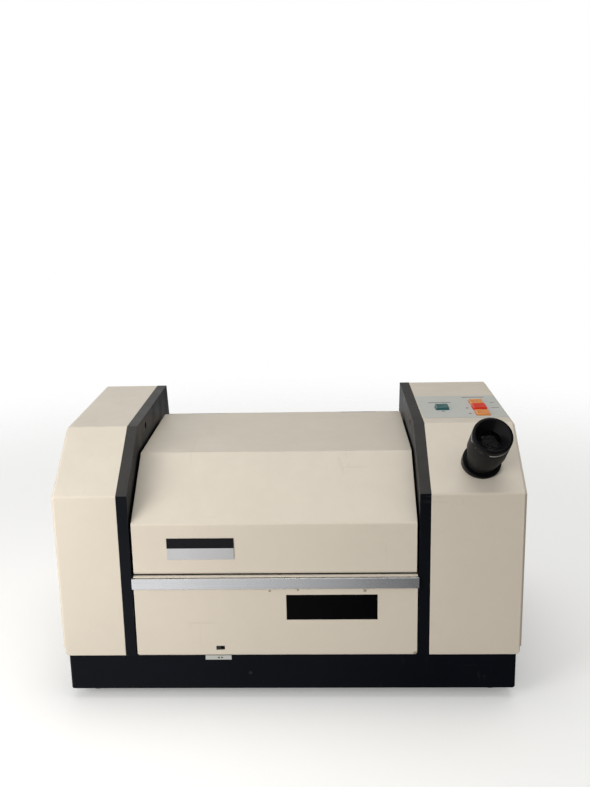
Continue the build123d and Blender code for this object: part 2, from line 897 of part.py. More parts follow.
# Discs in the cell, from its inner step outward: half-shade plate, polariser, spacer gap, condenser lens
step_x = polariser_x + 3 * glass
with BuildPart() as half_shade_plate:
    with BuildSketch(on_beam(step_x - glass)):
        Circle(glass_radius)
    extrude(amount=glass)
half_shade_plate.part.label = "half_shade_plate"
export_step(half_shade_plate.part, "parts/half_shade_plate.step")

with BuildPart() as polariser:
    with BuildSketch(on_beam(step_x - 2 * glass - glass_clearance)):
        Circle(glass_radius)
    extrude(amount=glass)
polariser.part.label = "polariser"
export_step(polariser.part, "parts/polariser.step")

with BuildPart() as condenser_lens:
    with BuildSketch(Plane(origin=(condenser_x, beam_y, beam_z), x_dir=(0, 1, 0), z_dir=(0, 0, -1))):
        add(lens(glass_radius, 2 * glass, condenser_bulge))
    revolve(axis=Axis((condenser_x, beam_y, beam_z), (1, 0, 0)))
condenser_lens.part.label = "condenser_lens"
export_step(condenser_lens.part, "parts/condenser_lens.step")

# Yellow filter, lamp and the finned bracket that holds both on the light path
bracket_x = left_cheek_x - lamp_stand_off
lamp_x = bracket_x - lamp_bracket_depth + fin_depth
pillar_spread = lamp_bracket_size - 2 * pillar_radius
with BuildPart() as lamp_bracket:
    with BuildSketch(on_beam(bracket_x)):
        Rectangle(lamp_bracket_size, lamp_bracket_size)
    extrude(amount=-lamp_bracket_depth)
    with BuildSketch(on_beam(bracket_x)):
        with GridLocations(pillar_spread, pillar_spread, 2, 2):
            Circle(pillar_radius)
    extrude(amount=lamp_stand_off)
    with BuildSketch(on_beam(bracket_x)):
        Circle(filter_radius + glass_clearance)
    extrude(amount=-filter_thickness, mode=Mode.SUBTRACT)
    with BuildSketch(on_beam(lamp_x)):
        Circle(lamp_radius + glass_clearance)
    extrude(amount=bracket_x - lamp_x, mode=Mode.SUBTRACT)
    with BuildSketch(on_beam(bracket_x - lamp_bracket_depth)):
        with GridLocations(lamp_bracket_size / fin_count, 0, fin_count - 1, 1):
            Rectangle(fin_slot, lamp_bracket_size)
    extrude(amount=fin_depth - fin_floor, mode=Mode.SUBTRACT)
lamp_bracket.part.label = "lamp_bracket"
export_step(lamp_bracket.part, "parts/lamp_bracket.step")

with BuildPart() as yellow_filter:
    with BuildSketch(on_beam(bracket_x)):
        Circle(filter_radius)
    extrude(amount=-filter_thickness)
yellow_filter.part.label = "yellow_filter"
export_step(yellow_filter.part, "parts/yellow_filter.step")

with BuildPart() as lamp:
    with BuildSketch(on_beam(lamp_x)):
        Circle(lamp_radius)
    extrude(amount=lamp_base)
    with BuildSketch(on_beam(lamp_x + lamp_base)):
        Circle(lamp_bulb_radius)
    extrude(amount=lamp_length - lamp_base)
    fillet(lamp.faces().sort_by(Axis.X)[-1].edges(), lamp_bulb_radius - lamp_bulb_flat)
lamp.part.label = "lamp"
export_step(lamp.part, "parts/lamp.step")

# Analyser bearing: a flanged bush through the right cheek, where the analyser's hub runs
bearing_end_x = right_cheek_x + sleeve_out
bearing_step_x = right_chamber_x + bearing_step
with BuildPart() as analyser_bearing:
    with BuildSketch(on_beam(right_chamber_x)):
        Circle(aperture_flange_radius)
    extrude(amount=-aperture_flange)
    chamfer(analyser_bearing.faces().sort_by(Axis.X)[0].edges(), strip_edge)
    with BuildSketch(on_beam(right_chamber_x)):
        Circle(sleeve_radius)
    extrude(amount=bearing_end_x - right_chamber_x)
    with BuildSketch(on_beam(right_chamber_x - aperture_flange)):
        Circle(beam_radius)
    extrude(amount=aperture_flange + bearing_step, mode=Mode.SUBTRACT)
    with BuildSketch(on_beam(right_chamber_x - aperture_flange)):
        Circle(seat_radius)
    extrude(amount=glass + glass_clearance, mode=Mode.SUBTRACT)
    with BuildSketch(on_beam(bearing_step_x)):
        Circle(hub_radius + hub_clearance)
    extrude(amount=bearing_end_x - bearing_step_x, mode=Mode.SUBTRACT)
analyser_bearing.part.label = "analyser_bearing"
export_step(analyser_bearing.part, "parts/analyser_bearing.step")

# Window discs in the two chamber flanges
with BuildPart() as aperture_windows:
    with BuildSketch(
        on_beam(left_chamber_x + aperture_flange - glass), on_beam(right_chamber_x - aperture_flange)
    ):
        Circle(glass_radius)
    extrude(amount=glass)
aperture_windows.part.label = "aperture_windows"
export_step(aperture_windows.part, "parts/aperture_windows.step")


def involute(angle):
    """Involute function of a pressure angle in radians."""
    return tan(angle) - angle


def gear(teeth, phase):
    """Face of a spur gear with the shared module and pressure angle, one tooth centred at phase degrees."""
    pitch_radius = gear_module * teeth / 2
    base_radius = pitch_radius * cos(radians(pressure_angle))
    tip_radius = pitch_radius + gear_module
    root_radius = pitch_radius - dedendum * gear_module
    flank_radius = max(base_radius, root_radius)
    tooth = 2 * pi / teeth

    def point(radius, angle):
        return (radius * cos(angle), radius * sin(angle))

    def half_angle(radius):
        roll = acos(min(1, base_radius / radius))
        width_loss = tooth_backlash / (4 * pitch_radius)
        return tooth / 4 + involute(radians(pressure_angle)) - involute(roll) - width_loss

    middle_radius = (flank_radius + tip_radius) / 2
    with BuildLine() as profile:
        for side in (-1, 1):
            ThreePointArc(
                point(flank_radius, side * half_angle(flank_radius)),
                point(middle_radius, side * half_angle(middle_radius)),
                point(tip_radius, side * half_angle(tip_radius)),
            )
            if flank_radius > root_radius:
                Line(
                    point(root_radius, side * half_angle(flank_radius)),
                    point(flank_radius, side * half_angle(flank_radius)),
                )
        ThreePointArc(
            point(tip_radius, -half_angle(tip_radius)),
            point(tip_radius, 0),
            point(tip_radius, half_angle(tip_radius)),
        )
        ThreePointArc(
            point(root_radius, half_angle(flank_radius)),
            point(root_radius, tooth / 2),
            point(root_radius, tooth - half_angle(flank_radius)),
        )
    with BuildSketch() as section:
        with BuildLine():
            add([
                edge.rotate(Axis.Z, phase + 360 * turn / teeth)
                for turn in range(teeth)
                for edge in profile.edges()
            ])
        make_face()
    return section.sketch


# Analyser wheel: toothed rim, web with round openings, and the hub that runs in the bearing
hub_start_x = bearing_step_x + hub_end_gap
hub_end_x = plate_x - hub_end_gap
rim_radius = wheel_radius - dedendum * gear_module - rim_width
polaroid_radius = hub_bore + polaroid_lap
with BuildPart() as analyser_wheel:
    with BuildSketch(on_beam(wheel_x)):
        add(gear(wheel_teeth, -90))
        Circle(rim_radius, mode=Mode.SUBTRACT)
    extrude(amount=wheel_face)
    with BuildSketch(on_beam(wheel_x + (wheel_face - web) / 2)):
        Circle(rim_radius)
        with PolarLocations((rim_radius + hub_radius) / 2, lightening_holes):
            Circle(lightening_radius, mode=Mode.SUBTRACT)
    extrude(amount=web)
    with BuildSketch(on_beam(hub_start_x)):
        Circle(hub_radius)
    extrude(amount=hub_end_x - hub_start_x)
    with BuildSketch(on_beam(hub_start_x)):
        Circle(hub_bore)
    extrude(amount=hub_end_x - hub_start_x, mode=Mode.SUBTRACT)
    with BuildSketch(on_beam(hub_start_x)):
        Circle(polaroid_radius + glass_clearance)
    extrude(amount=glass, mode=Mode.SUBTRACT)
analyser_wheel.part.label = "analyser_wheel"
export_step(analyser_wheel.part, "parts/analyser_wheel.step")

with BuildPart() as analyser_polaroid:
    with BuildSketch(on_beam(hub_start_x)):
        Circle(polaroid_radius)
    extrude(amount=glass)
analyser_polaroid.part.label = "analyser_polaroid"
export_step(analyser_polaroid.part, "parts/analyser_polaroid.step")

# Motor pinion below the wheel, half a tooth round so that the teeth mesh, on the motor's shaft
pinion_x = wheel_x - (pinion_face - wheel_face) / 2
motor_x = plate_x + plate
pinion_plane = Plane(origin=(pinion_x, beam_y, pinion_z), x_dir=(0, 1, 0), z_dir=(1, 0, 0))
motor_plane = Plane(origin=(motor_x, beam_y, pinion_z), x_dir=(0, 1, 0), z_dir=(1, 0, 0))
with BuildPart() as motor_pinion:
    with BuildSketch(pinion_plane):
        add(gear(pinion_teeth, 90 + 180 / pinion_teeth))
    extrude(amount=pinion_face)
    with BuildSketch(pinion_plane):
        Circle(shaft_radius)
    extrude(amount=motor_x + shaft_in_motor - pinion_x)
motor_pinion.part.label = "motor_pinion"
export_step(motor_pinion.part, "parts/motor_pinion.step")

with BuildPart() as drive_motor:
    with BuildSketch(motor_plane):
        Circle(motor_radius)
    extrude(amount=motor_length)
    chamfer(drive_motor.faces().sort_by(Axis.X)[-1].edges(), strip_edge)
    with BuildSketch(motor_plane):
        Circle(motor_pilot_radius)
    extrude(amount=-plate)
    with BuildSketch(motor_plane):
        Circle(motor_cap_radius)
    extrude(amount=motor_length + motor_cap)
    with BuildSketch(motor_plane.offset(-plate)):
        Circle(shaft_radius + running_clearance)
    extrude(amount=plate + shaft_in_motor + joint_gap, mode=Mode.SUBTRACT)
drive_motor.part.label = "drive_motor"
export_step(drive_motor.part, "parts/drive_motor.step")

# Drive plate: stands on four pillars off the cheek and carries the motor and the telescope block
plate_middle = ((plate_front_depth + plate_back_depth) / 2 + front_y, (plate_bottom + plate_top) / 2)
plate_size = (plate_back_depth - plate_front_depth, plate_top - plate_bottom)
with BuildPart() as drive_plate:
    with BuildSketch(Plane.YZ.offset(plate_x)):
        with Locations(plate_middle):
            RectangleRounded(*plate_size, plate_corner)
    extrude(amount=plate)
    with BuildSketch(Plane.YZ.offset(plate_x)):
        with Locations(plate_middle):
            with GridLocations(plate_size[0] - 2 * pillar_inset, plate_size[1] - 2 * pillar_inset, 2, 2):
                Circle(pillar_radius)
    extrude(amount=-plate_gap)
    with BuildSketch(Plane.YZ.offset(plate_x)):
        with Locations((beam_y, beam_z)):
            Circle(beam_radius)
        with Locations((beam_y, pinion_z)):
            Circle(motor_pilot_radius + screw_clearance)
    extrude(amount=plate, mode=Mode.SUBTRACT)
drive_plate.part.label = "drive_plate"
export_step(drive_plate.part, "parts/drive_plate.step")

# Telescope block: cut off along the mirror's plane, bored along the light path and up to the eyepiece
mirror_plane = Plane(origin=mirror_point, x_dir=mirror_normal.cross(look), z_dir=mirror_normal)
eyepiece_bore_plane = Plane(origin=mirror_point, x_dir=(1, 0, 0), z_dir=look)
objective_step_x = motor_x + objective_thickness + objective_bulge
with BuildPart() as telescope_block:
    with BuildSketch(on_beam(motor_x)):
        Rectangle(2 * block_half, 2 * block_half)
    extrude(amount=block_length)
    with BuildSketch(on_beam(motor_x)):
        Circle(beam_radius)
    extrude(amount=mirror_point.X - motor_x + beam_radius, mode=Mode.SUBTRACT)
    with BuildSketch(on_beam(motor_x)):
        Circle(objective_radius + glass_clearance)
    extrude(amount=objective_step_x - motor_x, mode=Mode.SUBTRACT)
    with BuildSketch(eyepiece_bore_plane.offset(-beam_radius)):
        Circle(beam_radius)
    extrude(amount=3 * block_half, mode=Mode.SUBTRACT)
    split(bisect_by=mirror_plane, keep=Keep.TOP)
telescope_block.part.label = "telescope_block"
export_step(telescope_block.part, "parts/telescope_block.step")

with BuildPart() as objective_lens:
    with BuildSketch(Plane(origin=(objective_step_x, beam_y, beam_z), x_dir=(0, 1, 0), z_dir=(0, 0, 1))):
        add(lens(objective_radius, objective_thickness, objective_bulge))
    revolve(axis=Axis((objective_step_x, beam_y, beam_z), (1, 0, 0)))
objective_lens.part.label = "objective_lens"
export_step(objective_lens.part, "parts/objective_lens.step")

with BuildPart() as fold_mirror:
    with BuildSketch(mirror_plane):
        Rectangle(mirror_width, mirror_width)
    extrude(amount=-mirror_thickness)
fold_mirror.part.label = "fold_mirror"
export_step(fold_mirror.part, "parts/fold_mirror.step")

# Eyepiece collar: seated on the slanted face and cut off along it, with a spigot through the cover
seat_plane = Plane(origin=seat, x_dir=(1, 0, 0), z_dir=(0, -sin(slope), cos(slope)))
tube_bore = lens_tube_radius + running_clearance
with BuildPart() as eyepiece_collar:
    with BuildSketch(on_eyepiece(-collar_spigot_length)):
        Circle(collar_radius)
    extrude(amount=collar_spigot_length + collar_reach)
    fillet(eyepiece_collar.faces().sort_by(Axis(seat, look))[-1].edges(), strip_edge)
    split(bisect_by=seat_plane, keep=Keep.TOP)
    with BuildSketch(on_eyepiece(-collar_spigot_length)):
        Circle(collar_spigot)
    extrude(amount=collar_spigot_length + collar_reach / 2)
    with BuildSketch(on_eyepiece(-collar_spigot_length)):
        Circle(tube_bore)
    extrude(amount=collar_spigot_length + collar_reach, mode=Mode.SUBTRACT)
eyepiece_collar.part.label = "eyepiece_collar"
export_step(eyepiece_collar.part, "parts/eyepiece_collar.step")

# Lens tube: slides in the collar, with the eye lens seated flat side down in its outer end
barrel_end = eyecup_reach - eyecup_height
cup_floor = eyecup_reach - eyecup_recess - eyecup_floor
tube_end = cup_floor - barrel_gap
lens_seat = tube_end - eye_lens_thickness
tube_inner = lens_tube_radius - lens_tube_wall
with BuildPart() as lens_tube:
    with BuildSketch(on_eyepiece(-lens_tube_in)):
        Circle(lens_tube_radius)
    extrude(amount=tube_end + lens_tube_in)
    with BuildSketch(on_eyepiece(-lens_tube_in)):
        Circle(tube_inner - lens_step)
    extrude(amount=tube_end + lens_tube_in, mode=Mode.SUBTRACT)
    with BuildSketch(on_eyepiece(lens_seat)):
        Circle(tube_inner + glass_clearance)
    extrude(amount=eye_lens_thickness, mode=Mode.SUBTRACT)
lens_tube.part.label = "lens_tube"
export_step(lens_tube.part, "parts/lens_tube.step")

with BuildPart() as eye_lens:
    with BuildSketch(on_eyepiece(lens_seat)):
        Circle(tube_inner)
    extrude(amount=eye_lens_thickness)
    fillet(eye_lens.faces().sort_by(Axis(seat, look))[-1].edges(), eye_lens_thickness - eye_lens_rim)
eye_lens.part.label = "eye_lens"
export_step(eye_lens.part, "parts/eye_lens.step")

# Focusing barrel: turned by hand; narrow at its foot, with a seat for the eyecup at its end
barrel_start = collar_reach + barrel_gap
cup_spigot = (lens_tube_radius + eyecup_radius) / 2
with BuildPart() as focus_barrel:
    with BuildSketch(on_eyepiece(barrel_start)):
        Circle(barrel_foot_radius)
    extrude(amount=barrel_foot)
    with BuildSketch(on_eyepiece(barrel_start + barrel_foot)):
        Circle(barrel_foot_radius)
    with BuildSketch(on_eyepiece(barrel_start + barrel_foot + barrel_taper)):
        Circle(eyecup_radius)
    loft()
    with BuildSketch(on_eyepiece(barrel_start + barrel_foot + barrel_taper)):
        Circle(eyecup_radius)
    extrude(amount=barrel_end - barrel_start - barrel_foot - barrel_taper)
    with BuildSketch(on_eyepiece(barrel_start)):
        Circle(tube_bore)
    extrude(amount=barrel_end - barrel_start, mode=Mode.SUBTRACT)
    with BuildSketch(on_eyepiece(cup_floor)):
        Circle(cup_spigot)
    extrude(amount=barrel_end - cup_floor, mode=Mode.SUBTRACT)
focus_barrel.part.label = "focus_barrel"
export_step(focus_barrel.part, "parts/focus_barrel.step")

# Eyecup: glossy rim with a conical hollow down to the eye lens
with BuildPart() as eyecup:
    with BuildSketch(on_eyepiece(cup_floor)):
        Circle(cup_spigot)
    extrude(amount=barrel_end - cup_floor)
    with BuildSketch(on_eyepiece(barrel_end)):
        Circle(eyecup_radius)
    extrude(amount=eyecup_height)
    fillet(eyecup.faces().sort_by(Axis(seat, look))[-1].edges(), strip_edge)
    with BuildSketch(on_eyepiece(eyecup_reach)):
        Circle(eyecup_mouth)
    with BuildSketch(on_eyepiece(eyecup_reach - eyecup_recess)):
        Circle(eye_opening)
    loft(mode=Mode.SUBTRACT)
    with BuildSketch(on_eyepiece(cup_floor)):
        Circle(eye_opening)
    extrude(amount=eyecup_recess, mode=Mode.SUBTRACT)
eyecup.part.label = "eyecup"
export_step(eyecup.part, "parts/eyecup.step")

# Control plate on top of the right column, with the openings of the keys
control_left_x = right_cheek_x + control_margin
control_right_x = right_wall_x - control_margin
with BuildPart() as control_plate:
    with BuildSketch(Plane.XY.offset(body_top)):
        with Locations(
            (
                (control_left_x + control_right_x) / 2,
                front_y + (control_front_depth + control_back_depth) / 2,
            )
        ):
            RectangleRounded(
                control_right_x - control_left_x,
                control_back_depth - control_front_depth,
                control_corner,
            )
        add(key_openings(), mode=Mode.SUBTRACT)
    extrude(amount=control_thickness)
control_plate.part.label = "control_plate"
export_step(control_plate.part, "parts/control_plate.step")

# Keys: each a cap through its opening, a flange that stops it under the cover, and a stem to its switch
flange_top = body_top - sheet - flange_clearance
flange_margin = key_gap + key_flange_lap
switch_top = key_board_z + board + switch_box_height
stem_bottom = switch_top + key_travel + flange_clearance
for key_name, (x, depth, width, length, key_rise) in keys.items():
    with BuildPart() as key:
        with BuildSketch(Plane.XY.offset(flange_top)):
            with Locations((x, front_y + depth)):
                RectangleRounded(width, length, key_edge)
        extrude(amount=body_top + key_rise - flange_top)
        fillet(key.faces().sort_by(Axis.Z)[-1].edges(), key_edge)
        with BuildSketch(Plane.XY.offset(flange_top)):
            with Locations((x, front_y + depth)):
                RectangleRounded(width + 2 * flange_margin, length + 2 * flange_margin, key_edge)
        extrude(amount=-key_flange)
        with BuildSketch(Plane.XY.offset(flange_top - key_flange)):
            with Locations((x, front_y + depth)):
                Circle(key_stem_radius)
        extrude(amount=stem_bottom - flange_top + key_flange)
    key.part.label = key_name
    export_step(key.part, f"parts/{key_name}.step")

# Key board hung from the cover, with one push switch under each key
key_points = [(x, front_y + depth) for x, depth, _, _, _ in keys.values()]
key_board_middle = ((green_key_x + row_key_x) / 2, front_y + row_key_depth)
key_board_size = (row_key_x - green_key_x + key_board_margin, 2 * row_key_pitch + 2 * key_board_margin)
with BuildPart() as key_board:
    with BuildSketch(Plane.XY.offset(key_board_z)):
        with Locations(key_board_middle):
            Rectangle(*key_board_size)
    extrude(amount=board)
    with BuildSketch(Plane.XY.offset(key_board_z + board)):
        with Locations(*key_points):
            Rectangle(switch_box, switch_box)
    extrude(amount=switch_box_height)
    with BuildSketch(Plane.XY.offset(key_board_z + board)):
        with Locations(key_board_middle):
            with GridLocations(
                key_board_size[0] - 2 * spacer_radius, key_board_size[1] - 2 * spacer_radius, 2, 2
            ):
                Circle(spacer_radius)
    extrude(amount=body_top - sheet - key_board_z - board)
key_board.part.label = "key_board"
export_step(key_board.part, "parts/key_board.step")

# Hood over the sample chamber: one folded sheet with a flange inside each end
hood_left_x = left_chamber_x + hood_gap
hood_width = chamber_width - 2 * hood_gap
hood_front_y = front_y + hood_setback
hood_fold = [
    (hood_front_y, hood_knee),
    (front_y + hood_slant_depth, hood_top),
]
with BuildPart() as hood:
    with BuildSketch(Plane.YZ.offset(hood_left_x)):
        add(
            bent_sheet(
                [(hood_front_y + hood_return, hood_bottom), (hood_front_y, hood_bottom)]
                + hood_fold
                + [(front_y + hood_back_depth, hood_top)],
                bend,
                sheet,
            )
        )
    extrude(amount=hood_width)
    with BuildSketch(
        Plane.YZ.offset(hood_left_x), Plane.YZ.offset(hood_left_x + hood_width - sheet)
    ):
        add(
            bent_sheet(
                [(hood_front_y, hood_bottom + bend)]
                + hood_fold
                + [(hinge_y - leaf_reach + leaf_relief, hood_top)],
                bend,
                hood_flange,
            )
        )
    extrude(amount=sheet)
hood.part.label = "hood"
export_step(hood.part, "parts/hood.step")

with BuildPart() as nameplate:
    with BuildSketch(upright(hood_front_y)):
        with Locations((nameplate_x, nameplate_z)):
            Rectangle(nameplate_width, nameplate_height)
    extrude(amount=nameplate_thickness)
nameplate.part.label = "nameplate"
export_step(nameplate.part, "parts/nameplate.step")

# Hood hinges: fixed leaves with two knuckles each on the shelf, hood leaves with the middle one, and pins
hinge_centres = [hood_left_x + hinge_inset, hood_left_x + hood_width - hinge_inset]
middle_knuckle = hinge_length / 2
outer_knuckle = (hinge_length - middle_knuckle) / 2
outer_starts = [x + shift for x in hinge_centres for shift in (-hinge_length / 2, middle_knuckle / 2)]
middle_starts = [x - middle_knuckle / 2 + knuckle_gap for x in hinge_centres]
middle_length = middle_knuckle - 2 * knuckle_gap
fixed_leaf_z = shelf_top
hood_leaf_z = hood_top - sheet - leaf


def hinge_leaf(leaf_z, direction, own_starts, own_length, relief_starts, relief_length):
    """Leaf plates with their knuckles; beside the other leaf's knuckles the plate is cut back."""
    with BuildPart() as leaves:
        with BuildSketch(*[Plane.YZ.offset(x) for x in own_starts]):
            with Locations((hinge_y, leaf_z)):
                Rectangle(
                    leaf_reach, leaf, align=(Align.MIN if direction > 0 else Align.MAX, Align.MIN)
                )
            with Locations((hinge_y, hinge_z)):
                Circle(knuckle_radius)
        extrude(amount=own_length)
        with BuildSketch(*[Plane.YZ.offset(x) for x in relief_starts]):
            with Locations((hinge_y + direction * leaf_reach, leaf_z)):
                Rectangle(
                    leaf_reach - leaf_relief,
                    leaf,
                    align=(Align.MAX if direction > 0 else Align.MIN, Align.MIN),
                )
        extrude(amount=relief_length)
        with BuildSketch(*[Plane.YZ.offset(x) for x in own_starts]):
            with Locations((hinge_y, hinge_z)):
                Circle(pin_radius + pin_clearance)
        extrude(amount=own_length, mode=Mode.SUBTRACT)
    return leaves.part


with BuildPart() as hinge_fixed_leaves:
    add(hinge_leaf(
        fixed_leaf_z,
        1,
        outer_starts,
        outer_knuckle,
        [x - middle_knuckle / 2 for x in hinge_centres],
        middle_knuckle,
    ))
hinge_fixed_leaves.part.label = "hinge_fixed_leaves"
export_step(hinge_fixed_leaves.part, "parts/hinge_fixed_leaves.step")

with BuildPart() as hinge_hood_leaves:
    add(hinge_leaf(
        hood_leaf_z,
        -1,
        middle_starts,
        middle_length,
        [x - hinge_length / 2 for x in hinge_centres],
        hinge_length,
    ))
hinge_hood_leaves.part.label = "hinge_hood_leaves"
export_step(hinge_hood_leaves.part, "parts/hinge_hood_leaves.step")

with BuildPart() as hinge_pins:
    with BuildSketch(
        *[
            Plane(origin=(x - hinge_length / 2, hinge_y, hinge_z), x_dir=(0, 1, 0), z_dir=(1, 0, 0))
            for x in hinge_centres
        ]
    ):
        Circle(pin_radius)
    extrude(amount=hinge_length)
hinge_pins.part.label = "hinge_pins"
export_step(hinge_pins.part, "parts/hinge_pins.step")

# Rear panel: the shelf under the hood's hinges, the slope behind it, and the back with its fittings
rear_screw_planes = [
    Plane(origin=(x, inlet_y, z), z_dir=(0, 1, 0))
    for x in (left_chamber_x + panel_tab / 2, right_chamber_x - panel_tab / 2)
    for z in tab_heights
]
slant_fall = (body_top - shelf_top) / (body_top - rear_knee_height)
shelf_back_y = front_y + top_back_depth + slant_fall * (body_depth - top_back_depth) - panel_setback
fuse_hole = fuse_body_radius + screw_clearance
rocker_case_width = rocker_frame_width - 2 * rocker_wall
rocker_case_height = rocker_frame_height - 2 * rocker_wall
with BuildPart() as rear_panel:
    with BuildSketch(Plane.YZ.offset(panel_left_x)):
        add(
            bent_sheet(
                [
                    (front_y + chamber_back_depth - shelf_lap, shelf_top),
                    (shelf_back_y, shelf_top),
                    (inlet_y, rear_knee_height),
                    (inlet_y, base_top),
                ],
                bend,
                sheet,
            )
        )
    extrude(amount=panel_width)
    with BuildSketch(upright(back_y)):
        with Locations((inlet_x, inlet_z)):
            Rectangle(inlet_width + joint_gap, inlet_height + joint_gap)
        with Locations((fuse_x, inlet_z)):
            Circle(fuse_hole)
        with Locations((rocker_x, inlet_z)):
            Rectangle(rocker_case_width + joint_gap, rocker_case_height + joint_gap)
        with Locations((vent_x, vent_z)):
            with GridLocations(vent_pitch, 0, vent_count, 1):
                SlotOverall(vent_length, vent_width, rotation=90)
    extrude(amount=2 * sheet, both=True, mode=Mode.SUBTRACT)
    with Locations(*rear_screw_planes):
        Cone(thread_hole, head_hole, countersink, align=MIDDLE_DOWN, mode=Mode.SUBTRACT)
rear_panel.part.label = "rear_panel"
export_step(rear_panel.part, "parts/rear_panel.step")

# Power inlet: flanged body with the shaped socket for an appliance connector, and its three pins
socket_floor_y = inlet_y + inlet_flange - inlet_cavity_depth
pin_points = [
    (inlet_x - pin_spread, inlet_z - pin_offset),
    (inlet_x, inlet_z + pin_offset),
    (inlet_x + pin_spread, inlet_z - pin_offset),
]
with BuildPart() as power_inlet:
    with BuildSketch(upright(inlet_y)):
        with Locations((inlet_x, inlet_z)):
            RectangleRounded(
                inlet_width + 2 * inlet_flange_margin,
                inlet_height + 2 * inlet_flange_margin,
                inlet_flange_margin,
            )
    extrude(amount=-inlet_flange)
    with BuildSketch(upright(inlet_y)):
        with Locations((inlet_x, inlet_z)):
            Rectangle(inlet_width, inlet_height)
    extrude(amount=inlet_depth)
    with BuildSketch(upright(socket_floor_y)) as socket:
        with Locations((inlet_x, inlet_z)):
            Rectangle(inlet_cavity_width, inlet_cavity_height)
        chamfer(socket.vertices().group_by(Axis.Y)[-1], inlet_cavity_corner)
    extrude(amount=-inlet_cavity_depth, mode=Mode.SUBTRACT)
    with BuildSketch(upright(socket_floor_y)):
        with Locations(*pin_points):
            Rectangle(pin_thickness, pin_width)
    extrude(amount=pin_root, mode=Mode.SUBTRACT)
power_inlet.part.label = "power_inlet"
export_step(power_inlet.part, "parts/power_inlet.step")

with BuildPart() as inlet_pins:
    with BuildSketch(upright(socket_floor_y + pin_length)):
        with Locations(*pin_points):
            Rectangle(pin_thickness, pin_width)
    extrude(amount=pin_length + pin_root)
inlet_pins.part.label = "inlet_pins"
export_step(inlet_pins.part, "parts/inlet_pins.step")

# Fuse holder: body through the panel, flange and a cap with a driver slot
with BuildPart() as fuse_holder:
    with BuildSketch(upright(inlet_y)):
        with Locations((fuse_x, inlet_z)):
            Circle(fuse_body_radius)
    extrude(amount=fuse_body_length)
    with BuildSketch(upright(inlet_y)):
        with Locations((fuse_x, inlet_z)):
            Circle(fuse_flange_radius)
    extrude(amount=-fuse_flange)
    with BuildSketch(upright(inlet_y + fuse_flange)):
        with Locations((fuse_x, inlet_z)):
            Circle(fuse_cap_radius)
    extrude(amount=-fuse_cap)
    fillet(fuse_holder.faces().sort_by(Axis.Y)[-1].edges(), strip_edge)
    with BuildSketch(upright(inlet_y + fuse_flange + fuse_cap)):
        with Locations((fuse_x, inlet_z)):
            Rectangle(fuse_cap_radius, fuse_slot)
    extrude(amount=fuse_slot, mode=Mode.SUBTRACT)
fuse_holder.part.label = "fuse_holder"
export_step(fuse_holder.part, "parts/fuse_holder.step")

# Rocker switch: frame with its case, and the rocker on two trunnions, resting with its upper half out
rocker_y = inlet_y + rocker_frame_face - rocker_pivot_depth
rocker_opening = (
    rocker_width + 2 * rocker_side_gap,
    2 * (rocker_half_length + rocker_end_gap),
)
with BuildPart() as rocker_frame:
    with BuildSketch(upright(inlet_y)):
        with Locations((rocker_x, inlet_z)):
            RectangleRounded(rocker_frame_width, rocker_frame_height, rocker_wall)
    extrude(amount=-rocker_frame_face)
    with BuildSketch(upright(inlet_y)):
        with Locations((rocker_x, inlet_z)):
            Rectangle(rocker_case_width, rocker_case_height)
    extrude(amount=rocker_case_depth)
    with BuildSketch(upright(inlet_y + rocker_frame_face)):
        with Locations((rocker_x, inlet_z)):
            Rectangle(*rocker_opening)
    extrude(amount=rocker_pivot_depth + rocker_root + 2 * rocker_end_gap, mode=Mode.SUBTRACT)
    with BuildSketch(Plane.YZ.offset(rocker_x)):
        with Locations((rocker_y, inlet_z)):
            Circle(rocker_pivot_radius + pin_clearance)
    extrude(amount=rocker_trunnion + joint_gap, both=True, mode=Mode.SUBTRACT)
rocker_frame.part.label = "rocker_frame"
export_step(rocker_frame.part, "parts/rocker_frame.step")

with BuildPart() as power_rocker:
    with BuildSketch(Plane.YZ.offset(rocker_x)):
        with Locations((rocker_y, inlet_z)):
            Polygon(
                (rocker_face, -rocker_half_length),
                (rocker_dip, 0),
                (rocker_face, rocker_half_length),
                (0, rocker_half_length),
                (-rocker_root, rocker_half_length / 3),
                (-rocker_root, -rocker_half_length / 3),
                (0, -rocker_half_length),
                rotation=-rocker_tilt,
                align=None,
            )
    extrude(amount=rocker_width / 2, both=True)
    with BuildSketch(Plane.YZ.offset(rocker_x)):
        with Locations((rocker_y, inlet_z)):
            Circle(rocker_pivot_radius)
    extrude(amount=rocker_trunnion, both=True)
power_rocker.part.label = "power_rocker"
export_step(power_rocker.part, "parts/power_rocker.step")

# Transformer: laminated core on two lugs, with the coil around it
with BuildPart() as transformer:
    with BuildSketch(Plane.XY.offset(tray_floor)):
        with Locations((transformer_x, front_y + transformer_depth)):
            Rectangle(core_length + core_lugs, core_width)
    extrude(amount=sheet)
    with BuildSketch(Plane.XY.offset(tray_floor)):
        with Locations((transformer_x, front_y + transformer_depth)):
            Rectangle(core_length, core_width)
    extrude(amount=core_height)
    with BuildSketch(Plane.XY.offset(tray_floor + (core_height - coil_height) / 2)):
        with Locations((transformer_x, front_y + transformer_depth)):
            RectangleRounded(coil_length, coil_width, coil_corner)
    extrude(amount=coil_height)
transformer.part.label = "transformer"
export_step(transformer.part, "parts/transformer.step")

